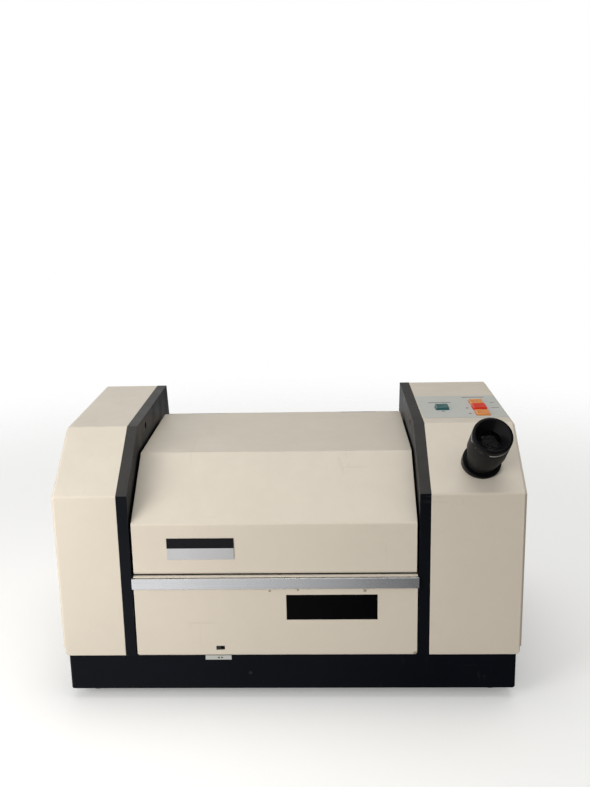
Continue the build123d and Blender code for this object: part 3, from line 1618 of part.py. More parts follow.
# Main board on standoffs in front of the transformer, with its capacitors, connectors and cooled regulator
board_x = chamber_middle_x
board_width = transformer_depth - coil_width / 2 - board_gap - board_front_depth
board_depth = board_front_depth + board_width / 2
board_middle = (board_x, front_y + board_depth)
board_top = tray_floor + board_stand + board
with BuildPart() as main_board:
    with BuildSketch(Plane.XY.offset(tray_floor)):
        with Locations(board_middle):
            with GridLocations(board_length - 4 * spacer_radius, board_width - 4 * spacer_radius, 2, 2):
                Circle(spacer_radius)
    extrude(amount=board_stand)
    with BuildSketch(Plane.XY.offset(tray_floor + board_stand)):
        with Locations(board_middle):
            Rectangle(board_length, board_width)
    extrude(amount=board)
    with BuildSketch(Plane.XY.offset(board_top)):
        with Locations((board_x, front_y + board_depth + board_width / 3)):
            with GridLocations(capacitor_pitch, 0, capacitor_count, 1):
                Circle(capacitor_radius)
    extrude(amount=capacitor_height)
    with BuildSketch(Plane.XY.offset(board_top)):
        with Locations((board_x, front_y + board_depth)):
            with GridLocations(heat_sink_pitch, 0, heat_sink_fins, 1):
                Rectangle(board, heat_sink_width)
    extrude(amount=heat_sink_height)
    with BuildSketch(Plane.XY.offset(board_top)):
        with Locations((board_x, front_y + board_depth)):
            Rectangle(heat_sink_pitch * heat_sink_fins, heat_sink_width)
        with Locations((board_x, front_y + board_depth - board_width / 3)):
            with GridLocations(connector_pitch, 0, connector_count, 1):
                Rectangle(connector_length, connector_width)
    extrude(amount=connector_height)
main_board.part.label = "main_board"
export_step(main_board.part, "parts/main_board.step")

# Socket cap screws: one up through each foot, one through each cheek into its cover's lug
cap_screw_planes = [
    Plane(origin=(x, y, foot_recess - cap_head_height), z_dir=(0, 0, -1)) for x, y in foot_points
] + [
    Plane(origin=(x + outward * cap_screw_recess, cheek_screw_y, cheek_screw_z), z_dir=(-outward, 0, 0))
    for x, outward in ((left_chamber_x, -1), (right_chamber_x, 1))
]
with BuildPart() as cap_screws:
    with Locations(*cap_screw_planes):
        Cylinder(cap_head_radius, cap_head_height, align=MIDDLE_DOWN)
        Cylinder(cap_thread_radius, cap_head_height + cap_thread_length, align=MIDDLE_DOWN)
    with BuildSketch(*cap_screw_planes):
        RegularPolygon(cap_hex_radius, 6)
    extrude(amount=-cap_hex_depth, mode=Mode.SUBTRACT)
cap_screws.part.label = "cap_screws"
export_step(cap_screws.part, "parts/cap_screws.step")

# Countersunk case screws of the side plates and the rear panel
case_screw_planes = (
    side_screw_planes(left_wall_x, -1) + side_screw_planes(right_wall_x, 1) + rear_screw_planes
)
with BuildPart() as case_screws:
    with Locations(*case_screw_planes):
        Cone(case_thread_radius, case_head_radius, countersink, align=MIDDLE_DOWN)
        Cylinder(case_thread_radius, countersink + case_thread_length, align=MIDDLE_DOWN)
        Box(
            case_slot_width,
            2 * case_head_radius,
            case_slot_depth,
            align=MIDDLE_DOWN,
            mode=Mode.SUBTRACT,
        )
case_screws.part.label = "case_screws"
export_step(case_screws.part, "parts/case_screws.step")
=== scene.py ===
# %% [markdown]
# A bench polarimeter, finished for its picture. The instrument is two cream columns on a black base, with
# a hinged hood over the sample chamber between them. The construction comes ready made, with every plate,
# screw and wheel in its place, so this script only dresses it: it models the pieces that fingers and eyes
# meet, the keys and the eyepiece, prints the small marks, paints each surface, and sets light and camera.

# %% Load the instrument
import json
import math
import bmesh
import bpy
from mathutils import Matrix, Vector


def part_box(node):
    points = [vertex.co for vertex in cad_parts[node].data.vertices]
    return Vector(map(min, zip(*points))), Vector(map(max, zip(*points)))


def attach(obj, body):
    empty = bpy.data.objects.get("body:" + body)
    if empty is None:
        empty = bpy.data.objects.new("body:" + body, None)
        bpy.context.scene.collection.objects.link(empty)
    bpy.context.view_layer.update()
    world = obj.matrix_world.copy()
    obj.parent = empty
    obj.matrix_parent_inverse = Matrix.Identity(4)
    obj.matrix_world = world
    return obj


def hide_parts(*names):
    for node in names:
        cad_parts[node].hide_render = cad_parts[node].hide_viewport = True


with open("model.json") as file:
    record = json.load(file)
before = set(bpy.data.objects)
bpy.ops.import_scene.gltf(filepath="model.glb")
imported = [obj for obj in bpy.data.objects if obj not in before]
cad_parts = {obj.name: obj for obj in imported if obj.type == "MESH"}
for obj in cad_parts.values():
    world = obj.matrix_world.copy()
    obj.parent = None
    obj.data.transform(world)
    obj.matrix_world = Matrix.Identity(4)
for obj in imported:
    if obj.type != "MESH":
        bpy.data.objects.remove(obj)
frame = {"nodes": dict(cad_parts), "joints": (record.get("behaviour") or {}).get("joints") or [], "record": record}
parts = frame["nodes"]
joints = {joint["name"]: joint for joint in frame["joints"]}
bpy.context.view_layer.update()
MM = 0.001

# %% [markdown]
# A few small helpers keep the work on meshes short. The first clears the selection, because the loaded
# pieces come in selected, and opens one piece for editing. The next picks faces in it by where they lie
# and which way they look, which holds up when a size changes, as picking by number would not. The others
# close a piece, look up its slot and tie it to its body.


# %% Helpers for editing a piece
def open_piece(piece, mode="FACE"):
    """Open one piece alone in edit mode, with nothing selected."""
    if bpy.context.mode != "OBJECT":
        bpy.ops.object.mode_set(mode="OBJECT")
    bpy.ops.object.select_all(action="DESELECT")
    piece.select_set(True)
    bpy.context.view_layer.objects.active = piece
    bpy.ops.object.mode_set(mode="EDIT")
    bpy.ops.mesh.select_mode(type=mode)
    bpy.ops.mesh.select_all(action="DESELECT")


def pick_faces(piece, wanted):
    """Select the faces for which wanted(middle, normal) is true, and return how many there are."""
    mesh = bmesh.from_edit_mesh(piece.data)
    count = 0
    for face in mesh.faces:
        chosen = wanted(face.calc_center_median(), face.normal)
        face.select_set(chosen)
        count += chosen
    bmesh.update_edit_mesh(piece.data)
    return count


def close_piece():
    """Make every face look outwards and leave edit mode."""
    bpy.ops.mesh.select_all(action="SELECT")
    bpy.ops.mesh.normals_make_consistent(inside=False)
    bpy.ops.object.mode_set(mode="OBJECT")


def frame_slot(node):
    """The material slot that the record gives a piece."""
    return next(part["material_slot"] for part in frame["record"]["subparts"] if part["node"] == node)


def seat_piece(piece, body):
    """Let a finished piece move with its body."""
    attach(piece, body)


# %% [markdown]
# Each key is an injection-moulded cap that a finger finds by its hollow top. The cap's copy is welded
# first. Its flat top is then drawn in ring by ring, and each ring sinks a little less than the one before,
# which makes the shallow dish that the mould gives the real one. The stem and the flange below stay as
# built.


# %% Keys with dished tops
KEY_BODIES = {
    "green_key": "green_button",
    "rear_orange_key": "rear_orange_button",
    "red_key": "red_button",
    "front_orange_key": "front_orange_button",
}
DISH_SHARE = 0.84
DISH_DEPTH = 0.55 * MM
DISH_RINGS = 6
TOP_BAND = 0.05 * MM
TOP_NORMAL = 0.99
KEY_WELD = 0.02 * MM
KEY_FLAT = math.radians(1)
KEY_SMOOTH = math.radians(32)


def top_middle(piece):
    """The middle of the faces picked in the piece being edited."""
    mesh = bmesh.from_edit_mesh(piece.data)
    middles = [face.calc_center_bounds() for face in mesh.faces if face.select]
    return sum(middles, Vector()) / len(middles)


def dished_key(node):
    """Copy a key, weld it, and press a shallow hollow into its top."""
    bpy.ops.object.select_all(action="DESELECT")
    key = parts[node].copy()
    key.data = parts[node].data.copy()
    key.name = node + "_cap"
    bpy.context.collection.objects.link(key)
    key.parent = None
    key.matrix_world = Matrix.Identity(4)
    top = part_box(node)[1].z
    open_piece(key)
    bpy.ops.mesh.select_all(action="SELECT")
    bpy.ops.mesh.customdata_custom_splitnormals_clear()
    bpy.ops.mesh.remove_doubles(threshold=KEY_WELD)
    bpy.ops.mesh.dissolve_limited(angle_limit=KEY_FLAT)
    bpy.ops.mesh.select_all(action="DESELECT")
    found = pick_faces(key, lambda middle, normal: normal.z > TOP_NORMAL and middle.z > top - TOP_BAND)
    middle = top_middle(key)
    shares = [1.0] + [DISH_SHARE * (1 - ring / DISH_RINGS) for ring in range(DISH_RINGS)]
    depths = [0.0] + [DISH_DEPTH * (1 - (1 - ring / DISH_RINGS) ** 2) for ring in range(DISH_RINGS)]
    for ring in range(1, len(shares)):
        sink = depths[ring] - depths[ring - 1]
        draw_in = shares[ring] / shares[ring - 1]
        bpy.ops.mesh.extrude_region_move(TRANSFORM_OT_translate={"value": (0, 0, -sink)})
        bpy.ops.transform.resize(value=(draw_in, draw_in, 1), center_override=middle)
    close_piece()
    bpy.ops.object.shade_smooth_by_angle(angle=KEY_SMOOTH)
    seat_piece(key, KEY_BODIES[node])
    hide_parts(node)
    print(node, "has", found, "top face and", len(key.data.polygons), "faces after the dish")
    return key


keys = {node: dished_key(node) for node in KEY_BODIES}

# %% [markdown]
# The eyepiece is turned work. Its barrel flares from a narrow foot, ends in a shallow chamfer where the
# paint wears through, and carries an eyecup with a conical mouth. Both are turned here too: half a section
# is drawn point by point beside the axis and spun through a full circle. Where a piece starts and stops
# and how wide it is come from the built one, so it stays in its place when the design changes.


# %% Eyepiece, turned
focus = joints["focus_turn"]
AXIS = Vector(focus["axis"]).normalized()
AXIS_POINT = Vector(focus["pos_m"])
ACROSS = Vector((1, 0, 0)).cross(AXIS).normalized()
SPIN_STEPS = 96
SPIN_WELD = 0.01 * MM
SPIN_SMOOTH = math.radians(28)


def reach_of(node, end):
    """How far along the eyepiece's axis a piece starts (end 0) or stops (end 1)."""
    distances = [(vertex.co - AXIS_POINT).dot(AXIS) for vertex in parts[node].data.vertices]
    return max(distances) if end else min(distances)


def radius_of(node):
    """The largest distance of a piece from the eyepiece's axis."""
    return max((vertex.co - AXIS_POINT).cross(AXIS).length for vertex in parts[node].data.vertices)


def turned(name, section):
    """Spin a closed half section, given as (radius, reach) pairs, round the eyepiece's axis."""
    bpy.ops.object.select_all(action="DESELECT")
    places = [AXIS_POINT + ACROSS * radius + AXIS * reach for radius, reach in section]
    bpy.ops.mesh.primitive_plane_add(size=1 * MM, location=places[0])
    piece = bpy.context.active_object
    piece.name = name
    bpy.ops.object.transform_apply(location=True, rotation=False, scale=False)
    open_piece(piece, "VERT")
    bpy.ops.mesh.select_all(action="SELECT")
    bpy.ops.mesh.merge(type="CENTER")
    for here, there in zip(places, places[1:]):
        bpy.ops.mesh.extrude_region_move(TRANSFORM_OT_translate={"value": there - here})
    bpy.ops.mesh.select_all(action="SELECT")
    bpy.ops.mesh.edge_face_add()
    bpy.ops.mesh.delete(type="ONLY_FACE")
    bpy.ops.mesh.select_all(action="SELECT")
    bpy.ops.mesh.spin(steps=SPIN_STEPS, angle=math.tau, center=AXIS_POINT, axis=AXIS)
    bpy.ops.mesh.select_all(action="SELECT")
    bpy.ops.mesh.remove_doubles(threshold=SPIN_WELD)
    close_piece()
    bpy.ops.object.shade_smooth_by_angle(angle=SPIN_SMOOTH)
    widest = max(radius for radius, reach in section)
    print(name, "turned,", len(piece.data.polygons), "faces, radius", round(widest / MM, 2), "mm")
    return piece


def rounded(corner_radius, corner_reach, size, start, stop, count=4):
    """Points of a small round at a corner of a section, from one angle to another."""
    angles = [math.radians(start + (stop - start) * i / count) for i in range(count + 1)]
    return [(corner_radius + size * math.cos(a), corner_reach + size * math.sin(a)) for a in angles]


FOOT_RADIUS = 14.2 * MM
FOOT_LENGTH = 3.0 * MM
TAPER_LENGTH = 17.0 * MM
BORE_RADIUS = 12.06 * MM
SPIGOT_RADIUS = 15.0 * MM
EYE_HOLE = 8.5 * MM
MOUTH_RADIUS = 15.5 * MM
CHAMFER = 0.55 * MM
EDGE_ROUND = 0.8 * MM
MOUTH_LIP = 0.6 * MM
FIT = 0.04 * MM
barrel_foot, barrel_end = reach_of("focus_barrel", 0), reach_of("focus_barrel", 1)
cup_low, cup_end = reach_of("eyecup", 0), reach_of("eyecup", 1)
outer = radius_of("focus_barrel")

barrel = turned("focus_barrel_turned", [
    (BORE_RADIUS, barrel_foot),
    (FOOT_RADIUS - CHAMFER / 2, barrel_foot),
    (FOOT_RADIUS, barrel_foot + CHAMFER / 2),
    (FOOT_RADIUS, barrel_foot + FOOT_LENGTH),
    (outer, barrel_foot + FOOT_LENGTH + TAPER_LENGTH),
    (outer, barrel_end - CHAMFER),
    (outer - CHAMFER, barrel_end),
    (SPIGOT_RADIUS, barrel_end),
    (SPIGOT_RADIUS, cup_low),
    (BORE_RADIUS, cup_low),
    (BORE_RADIUS, barrel_foot),
])
cup = turned("eyecup_turned", [
    (EYE_HOLE, cup_low),
    (SPIGOT_RADIUS - FIT, cup_low),
    (SPIGOT_RADIUS - FIT, barrel_end),
    (outer - CHAMFER, barrel_end),
    (outer, barrel_end + CHAMFER),
    *rounded(outer - EDGE_ROUND, cup_end - EDGE_ROUND, EDGE_ROUND, 0, 90),
    (MOUTH_RADIUS, cup_end),
    (EYE_HOLE, cup_low + MOUTH_LIP),
    (EYE_HOLE, cup_low),
])
for piece, node in ((barrel, "focus_barrel"), (cup, "eyecup")):
    seat_piece(piece, "focus_ring")
    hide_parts(node)

# %% [markdown]
# A few flat marks finish the outside. A small white label with two arrow heads sits on the base under the
# slide switch, cut from thin sheet. The plate round the keys carries printed lines and arrow heads, and
# the real lettering is left off. Each mark is a thin slab drawn out from its outline, so it is a closed
# piece.


# %% Label and printed marks
def slab(name, corners, lift):
    """A flat mark: an outline of three or four corners, lifted into a thin slab."""
    bpy.ops.object.select_all(action="DESELECT")
    bpy.ops.mesh.primitive_circle_add(vertices=len(corners), radius=1 * MM, fill_type="NGON")
    piece = bpy.context.active_object
    piece.name = name
    for vertex, corner in zip(piece.data.vertices, corners):
        vertex.co = corner
    open_piece(piece)
    bpy.ops.mesh.select_all(action="SELECT")
    bpy.ops.mesh.extrude_region_move(TRANSFORM_OT_translate={"value": lift})
    close_piece()
    return piece


def merged(name, pieces):
    """Join marks of one colour into one piece."""
    bpy.ops.object.select_all(action="DESELECT")
    for piece in pieces:
        piece.select_set(True)
    bpy.context.view_layer.objects.active = pieces[0]
    bpy.ops.object.join()
    pieces[0].name = name
    return pieces[0]


def bar(middle_x, middle_y, length, width, height):
    """A printed line on the control plate."""
    signs = ((-1, -1), (1, -1), (1, 1), (-1, 1))
    return [Vector((middle_x + a * length / 2, middle_y + b * width / 2, height)) for a, b in signs]


def arrow_head(tip, base, side):
    """Three corners of an arrow head: its tip, and its base widened to both sides."""
    return [tip, base + side, base - side]


INK = 0.05 * MM
PRINT_LIFT = Vector((0, 0, INK))
ROW_WIDTH = 1.5 * MM
ROW_AWAY = 13.0 * MM
ROW_LENGTH = 23.0 * MM
DASH_WIDTH = 1.0 * MM
DASH_LENGTH = 7.5 * MM
DASH_AWAY = 8.0 * MM
HEAD_LENGTH = 2.8 * MM
HEAD_HALF = 2.0 * MM
HEAD_AWAY = 2.2 * MM
plate_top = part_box("control_plate")[1].z


def key_plan(node):
    """The middle of a key and its half sizes, seen from above."""
    low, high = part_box(node)
    return (low.x + high.x) / 2, (low.y + high.y) / 2, (high.x - low.x) / 2, (high.y - low.y) / 2


prints = []
for node in ("green_key", "rear_orange_key"):
    x, y, half_x, half_y = key_plan(node)
    corners = bar(x, y + half_y + ROW_AWAY, ROW_LENGTH, ROW_WIDTH, plate_top)
    prints.append(slab("line", corners, PRINT_LIFT))
for node in ("red_key", "front_orange_key"):
    x, y, half_x, half_y = key_plan(node)
    tip = Vector((x - half_x - HEAD_AWAY, y, plate_top))
    corners = arrow_head(tip, tip - Vector((HEAD_LENGTH, 0, 0)), Vector((0, -HEAD_HALF, 0)))
    prints.append(slab("head", corners, PRINT_LIFT))
for node, length in (("rear_orange_key", DASH_LENGTH / 2), ("red_key", DASH_LENGTH)):
    x, y, half_x, half_y = key_plan(node)
    corners = bar(x + half_x + DASH_AWAY, y, length, DASH_WIDTH, plate_top)
    prints.append(slab("line", corners, PRINT_LIFT))
x, y, half_x, half_y = key_plan("green_key")
tip = Vector((x, y - half_y - HEAD_AWAY - HEAD_LENGTH, plate_top))
corners = arrow_head(tip, tip + Vector((0, HEAD_LENGTH, 0)), Vector((-HEAD_HALF, 0, 0)))
prints.append(slab("head", corners, PRINT_LIFT))
marks = merged("control_plate_marks", prints)
seat_piece(marks, "chassis")

LABEL_LEFT = -80.5 * MM
LABEL_RIGHT = -56.0 * MM
LABEL_LOW = 40.7 * MM
LABEL_HIGH = 45.1 * MM
LABEL_THICK = 0.25 * MM
ARROWS_MIDDLE = -66.5 * MM
ARROW_TIP = 2.9 * MM
ARROW_BASE = 0.8 * MM
ARROW_HALF = 1.1 * MM
base_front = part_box("base_tray")[0].y
places = (
    (LABEL_LEFT, LABEL_LOW),
    (LABEL_RIGHT, LABEL_LOW),
    (LABEL_RIGHT, LABEL_HIGH),
    (LABEL_LEFT, LABEL_HIGH),
)
label = slab("base_label", [Vector((x, base_front, z)) for x, z in places], Vector((0, -LABEL_THICK, 0)))
seat_piece(label, "chassis")
label_front = base_front - LABEL_THICK
arrows_z = (LABEL_LOW + LABEL_HIGH) / 2
heads = []
for way in (-1, 1):
    tip = Vector((ARROWS_MIDDLE + way * ARROW_TIP, label_front, arrows_z))
    base = Vector((ARROWS_MIDDLE + way * ARROW_BASE, label_front, arrows_z))
    corners = arrow_head(tip, base, Vector((0, 0, ARROW_HALF)))
    heads.append(slab("head", corners, Vector((0, -INK, 0))))
arrows = merged("base_label_arrows", heads)
seat_piece(arrows, "chassis")
label_width = round((LABEL_RIGHT - LABEL_LEFT) / MM, 1)
print("label", label_width, "mm wide,", len(prints), "marks on the control plate")

# %% [markdown]
# Paint drifts in tone, dust settles and edges wear alike on many surfaces, and some tops take painted
# shade or a painted reflection along with their dust, so these effects are made once and shared. Each is a
# small group that gives back a colour, a mask, a height or a normal and nothing else, measured in the
# piece's own coordinates, so a finish stays put when the piece moves.


# %% Shared effects
def group(name, inputs, outputs):
    """A new node group with these sockets, and its input and output nodes."""
    tree = bpy.data.node_groups.new(name, "ShaderNodeTree")
    for label, kind, value in inputs:
        socket = tree.interface.new_socket(label, in_out="INPUT", socket_type="NodeSocket" + kind)
        socket.default_value = value
    for label, kind in outputs:
        tree.interface.new_socket(label, in_out="OUTPUT", socket_type="NodeSocket" + kind)
    return tree, tree.nodes.new("NodeGroupInput"), tree.nodes.new("NodeGroupOutput")


def add(tree, kind, inputs=None, **settings):
    """Add a node, set its settings, and fill its inputs with values or with other nodes' outputs."""
    node = tree.nodes.new("ShaderNode" + kind)
    for name, value in settings.items():
        setattr(node, name, value)
    for key, value in (inputs or {}).items():
        if isinstance(value, bpy.types.NodeSocket):
            tree.links.new(value, node.inputs[key])
        else:
            node.inputs[key].default_value = value
    return node


def use(tree, name, **inputs):
    """Add one of the shared effects, with its inputs written with underscores for spaces."""
    node = tree.nodes.new("ShaderNodeGroup")
    node.node_tree = bpy.data.node_groups[name]
    for key, value in inputs.items():
        label = key.replace("_", " ")
        if isinstance(value, bpy.types.NodeSocket):
            tree.links.new(value, node.inputs[label])
        else:
            node.inputs[label].default_value = value
    return node


def noise(tree, scale, detail=2.0, roughness=0.5, stretch=None, distortion=0.0):
    """Noise on the piece's own coordinates, if wanted stretched along an axis."""
    place = add(tree, "TexCoord").outputs["Object"]
    if stretch is not None:
        place = add(tree, "Mapping", {"Vector": place, "Scale": stretch}).outputs[0]
    inputs = {"Vector": place, "Scale": scale, "Detail": detail, "Roughness": roughness}
    inputs["Distortion"] = distortion
    return add(tree, "TexNoise", inputs).outputs[0]


def remap(tree, value, low, high, to_low=0.0, to_high=1.0, smooth=True):
    """Bring a value from one range to another, clamped."""
    inputs = {0: value, 1: low, 2: high, 3: to_low, 4: to_high}
    kind = "SMOOTHSTEP" if smooth else "LINEAR"
    return add(tree, "MapRange", inputs, interpolation_type=kind).outputs[0]


def maths(tree, operation, first, second):
    """One sum of two values."""
    return add(tree, "Math", {0: first, 1: second}, operation=operation).outputs[0]


def blend(tree, factor, first, second):
    """Mix two colours."""
    node = tree.nodes.new("ShaderNodeMix")
    node.data_type = "RGBA"
    for socket, value in ((node.inputs[0], factor), (node.inputs[6], first), (node.inputs[7], second)):
        if isinstance(value, bpy.types.NodeSocket):
            tree.links.new(value, socket)
        else:
            socket.default_value = value
    return node.outputs[2]


def make_tone():
    """Paint never dries quite even: the colour drifts a little, widely and finely."""
    inputs = [("Color", "Color", (1, 1, 1, 1)), ("Amount", "Float", 0.1)]
    tree, start, end = group("Tone", inputs, [("Color", "Color")])
    wide = remap(tree, noise(tree, 7.0, 3.0), 0.3, 0.7, smooth=False)
    fine = remap(tree, noise(tree, 85.0, 4.0), 0.25, 0.75, smooth=False)
    both = maths(tree, "ADD", maths(tree, "MULTIPLY", wide, 0.7), maths(tree, "MULTIPLY", fine, 0.3))
    swing = maths(tree, "MULTIPLY", maths(tree, "SUBTRACT", both, 0.5), start.outputs["Amount"])
    level = maths(tree, "ADD", swing, 1.0)
    shade = add(tree, "HueSaturation", {"Value": level, "Color": start.outputs["Color"]})
    tree.links.new(shade.outputs[0], end.inputs["Color"])


def make_grain():
    """The fine height of sprayed paint or of a moulded grain."""
    tree, start, end = group("Grain", [("Scale", "Float", 900.0)], [("Height", "Float")])
    place = add(tree, "TexCoord").outputs["Object"]
    inputs = {"Vector": place, "Scale": start.outputs["Scale"], "Detail": 2.0, "Roughness": 0.55}
    tree.links.new(add(tree, "TexNoise", inputs).outputs[0], end.inputs["Height"])


def make_round():
    """Edges that catch light: the normal of the piece with its corners softened."""
    tree, start, end = group("Round", [("Radius", "Float", 0.4 * MM)], [("Normal", "Vector")])
    bevel = add(tree, "Bevel", {"Radius": start.outputs["Radius"]}, samples=6)
    tree.links.new(bevel.outputs[0], end.inputs["Normal"])


def make_edges():
    """Where hands and cloths wear an edge: near a corner, and only in patches."""
    tree, start, end = group(
        "Edges", [("Radius", "Float", 0.8 * MM), ("Patches", "Float", 60.0)], [("Mask", "Float")]
    )
    bevel = add(tree, "Bevel", {"Radius": start.outputs["Radius"]}, samples=6)
    face = add(tree, "NewGeometry").outputs["Normal"]
    same = add(tree, "VectorMath", {0: bevel.outputs[0], 1: face}, operation="DOT_PRODUCT").outputs["Value"]
    corner = remap(tree, same, 0.985, 0.90)
    place = add(tree, "TexCoord").outputs["Object"]
    inputs = {"Vector": place, "Scale": start.outputs["Patches"], "Detail": 5.0, "Roughness": 0.6}
    patch = remap(tree, add(tree, "TexNoise", inputs).outputs[0], 0.48, 0.62)
    tree.links.new(maths(tree, "MULTIPLY", corner, patch), end.inputs["Mask"])


def make_dust_and_painted_top_light():
    """A mask on what looks up, thicker in some places than in others: settled dust, and on some finishes painted
    shade or a painted reflection on the tops.
    """
    tree, start, end = group("DustAndPaintedTopLight", [("Amount", "Float", 0.3)], [("Mask", "Float")])
    face = add(tree, "NewGeometry").outputs["Normal"]
    up = add(tree, "SeparateXYZ", {0: face}).outputs["Z"]
    level = remap(tree, up, 0.35, 0.98)
    cloud = remap(tree, noise(tree, 28.0, 6.0, 0.62), 0.25, 0.75, 0.55, 1.0, smooth=False)
    mask = maths(tree, "MULTIPLY", maths(tree, "MULTIPLY", level, cloud), start.outputs["Amount"])
    tree.links.new(mask, end.inputs["Mask"])


def make_streaks():
    """Brushing lines that run along X."""
    tree, start, end = group("Streaks", [("Fineness", "Float", 1.0)], [("Value", "Float")])
    place = add(tree, "TexCoord").outputs["Object"]
    long = add(tree, "Mapping", {"Vector": place, "Scale": (6.0, 2600.0, 2600.0)}).outputs[0]
    inputs = {"Vector": long, "Scale": start.outputs["Fineness"], "Detail": 5.0, "Roughness": 0.7}
    tree.links.new(add(tree, "TexNoise", inputs).outputs[0], end.inputs["Value"])


def make_scuffs():
    """Thin stray scratches, in a few places only."""
    tree, start, end = group("Scuffs", [("Density", "Float", 0.5)], [("Mask", "Float")])
    total = None
    for stretch in ((320.0, 9.0, 60.0), (14.0, 300.0, 190.0), (90.0, 60.0, 6.0)):
        line = remap(tree, noise(tree, 1.0, 1.0, 0.4, stretch, 0.6), 0.70, 0.735)
        total = line if total is None else maths(tree, "MAXIMUM", total, line)
    where = remap(tree, noise(tree, 16.0, 2.0), 0.50, 0.66)
    mask = maths(tree, "MULTIPLY", maths(tree, "MULTIPLY", total, where), start.outputs["Density"])
    tree.links.new(mask, end.inputs["Mask"])


def make_chip():
    """A small ragged chip round one point."""
    tree, start, end = group(
        "Chip", [("Centre", "Vector", (0, 0, 0)), ("Radius", "Float", 1.5 * MM)], [("Mask", "Float")]
    )
    place = add(tree, "TexCoord").outputs["Object"]
    centre = start.outputs["Centre"]
    apart = add(tree, "VectorMath", {0: place, 1: centre}, operation="DISTANCE").outputs["Value"]
    share = maths(tree, "DIVIDE", apart, start.outputs["Radius"])
    ragged = maths(tree, "ADD", share, maths(tree, "MULTIPLY", noise(tree, 900.0, 4.0, 0.7), 1.1))
    tree.links.new(remap(tree, ragged, 1.25, 1.10), end.inputs["Mask"])


def make_lathe():
    """Where a point lies on the eyepiece: its distance from the axis, and its reach along it."""
    tree, start, end = group("Lathe", [], [("Radius", "Float"), ("Reach", "Float")])
    place = add(tree, "TexCoord").outputs["Object"]
    apart = add(tree, "VectorMath", {0: place, 1: AXIS_POINT}, operation="SUBTRACT").outputs["Vector"]
    across = add(tree, "VectorMath", {0: apart, 1: AXIS}, operation="CROSS_PRODUCT").outputs["Vector"]
    radius = add(tree, "VectorMath", {0: across}, operation="LENGTH").outputs["Value"]
    reach = add(tree, "VectorMath", {0: apart, 1: AXIS}, operation="DOT_PRODUCT").outputs["Value"]
    tree.links.new(radius, end.inputs["Radius"])
    tree.links.new(reach, end.inputs["Reach"])


for make in (
    make_tone, make_grain, make_round, make_edges, make_dust_and_painted_top_light, make_streaks, make_scuffs, make_chip,
    make_lathe,
):
    make()
print("shared effects:", ", ".join(sorted(tree.name for tree in bpy.data.node_groups)))

# %% [markdown]
# Paint, metal and plastic differ in the same few ways: their colour, how they shine, how fine their grain
# is and how they wear. One recipe therefore builds them all from the shared effects, and each finish below
# says only what is its own.


# %% The recipe for a finish
def colour(red, green, blue):
    """A linear colour."""
    return (red, green, blue, 1.0)


def finish(
    name,
    base,
    roughness,
    metallic=0.0,
    shine=0.5,
    tone=0.10,
    grain=900.0,
    grain_height=0.02,
    soft_edge=0.35,
    dust=0.0,
    dust_and_painted_top_light_colour=(0.36, 0.34, 0.30, 1.0),
    wear=0.0,
    wear_colour=(0.35, 0.34, 0.33, 1.0),
    scuffs=0.0,
    scuff_colour=(0.5, 0.48, 0.44, 1.0),
    brushed=0.0,
    coat=0.0,
    chips=(),
    chip_colour=(0.03, 0.03, 0.035, 1.0),
):
    """A painted, plated or moulded surface."""
    material = bpy.data.materials.new(name)
    material.use_nodes = True
    material.diffuse_color = base
    tree = material.node_tree
    shader = tree.nodes["Principled BSDF"]
    shader.inputs["Metallic"].default_value = metallic
    shader.inputs["Specular IOR Level"].default_value = shine
    shader.inputs["Coat Weight"].default_value = coat
    shader.inputs["Coat Roughness"].default_value = 0.08
    tint = use(tree, "Tone", Color=base, Amount=tone).outputs[0]
    rough = remap(tree, noise(tree, 34.0, 4.0, 0.6), 0.3, 0.7, roughness - 0.05, roughness + 0.06)
    height = use(tree, "Grain", Scale=grain).outputs[0]
    if brushed:
        streaks = use(tree, "Streaks", Fineness=1.0).outputs[0]
        rough = maths(tree, "ADD", rough, remap(tree, streaks, 0.3, 0.7, -0.08 * brushed, 0.10 * brushed))
        groove = remap(tree, streaks, 0.35, 0.75, 0.0, 0.35 * brushed)
        tint = blend(tree, groove, tint, colour(0.25, 0.25, 0.26))
        height = maths(tree, "ADD", height, maths(tree, "MULTIPLY", streaks, 1.5 * brushed))
    if scuffs:
        marks = use(tree, "Scuffs", Density=scuffs).outputs[0]
        tint = blend(tree, marks, tint, scuff_colour)
        rough = maths(tree, "ADD", rough, maths(tree, "MULTIPLY", marks, 0.2))
    # The top mask is real dust, and on the cream and the cheek enamel it is also painted light: painted shade on
    # the cream tops, a painted reflection on the cheek tops.
    if dust:
        dust_and_painted_top_light = use(tree, "DustAndPaintedTopLight", Amount=dust).outputs[0]
        tint = blend(tree, dust_and_painted_top_light, tint, dust_and_painted_top_light_colour)
        rough = maths(tree, "ADD", rough, maths(tree, "MULTIPLY", dust_and_painted_top_light, 0.45))
    if wear:
        worn = maths(tree, "MULTIPLY", use(tree, "Edges").outputs[0], wear)
        tint = blend(tree, worn, tint, wear_colour)
        rough = maths(tree, "ADD", rough, maths(tree, "MULTIPLY", worn, 0.15))
    for place, radius in chips:
        chip = use(tree, "Chip", Centre=place, Radius=radius).outputs[0]
        tint = blend(tree, chip, tint, chip_colour)
        height = maths(tree, "SUBTRACT", height, maths(tree, "MULTIPLY", chip, 2.0))
    tree.links.new(tint, shader.inputs["Base Color"])
    tree.links.new(rough, shader.inputs["Roughness"])
    soft = use(tree, "Round", Radius=soft_edge * MM).outputs[0]
    inputs = {"Height": height, "Normal": soft, "Strength": 0.5, "Distance": grain_height * MM}
    bump = add(tree, "Bump", inputs)
    tree.links.new(bump.outputs[0], shader.inputs["Normal"])
    return material


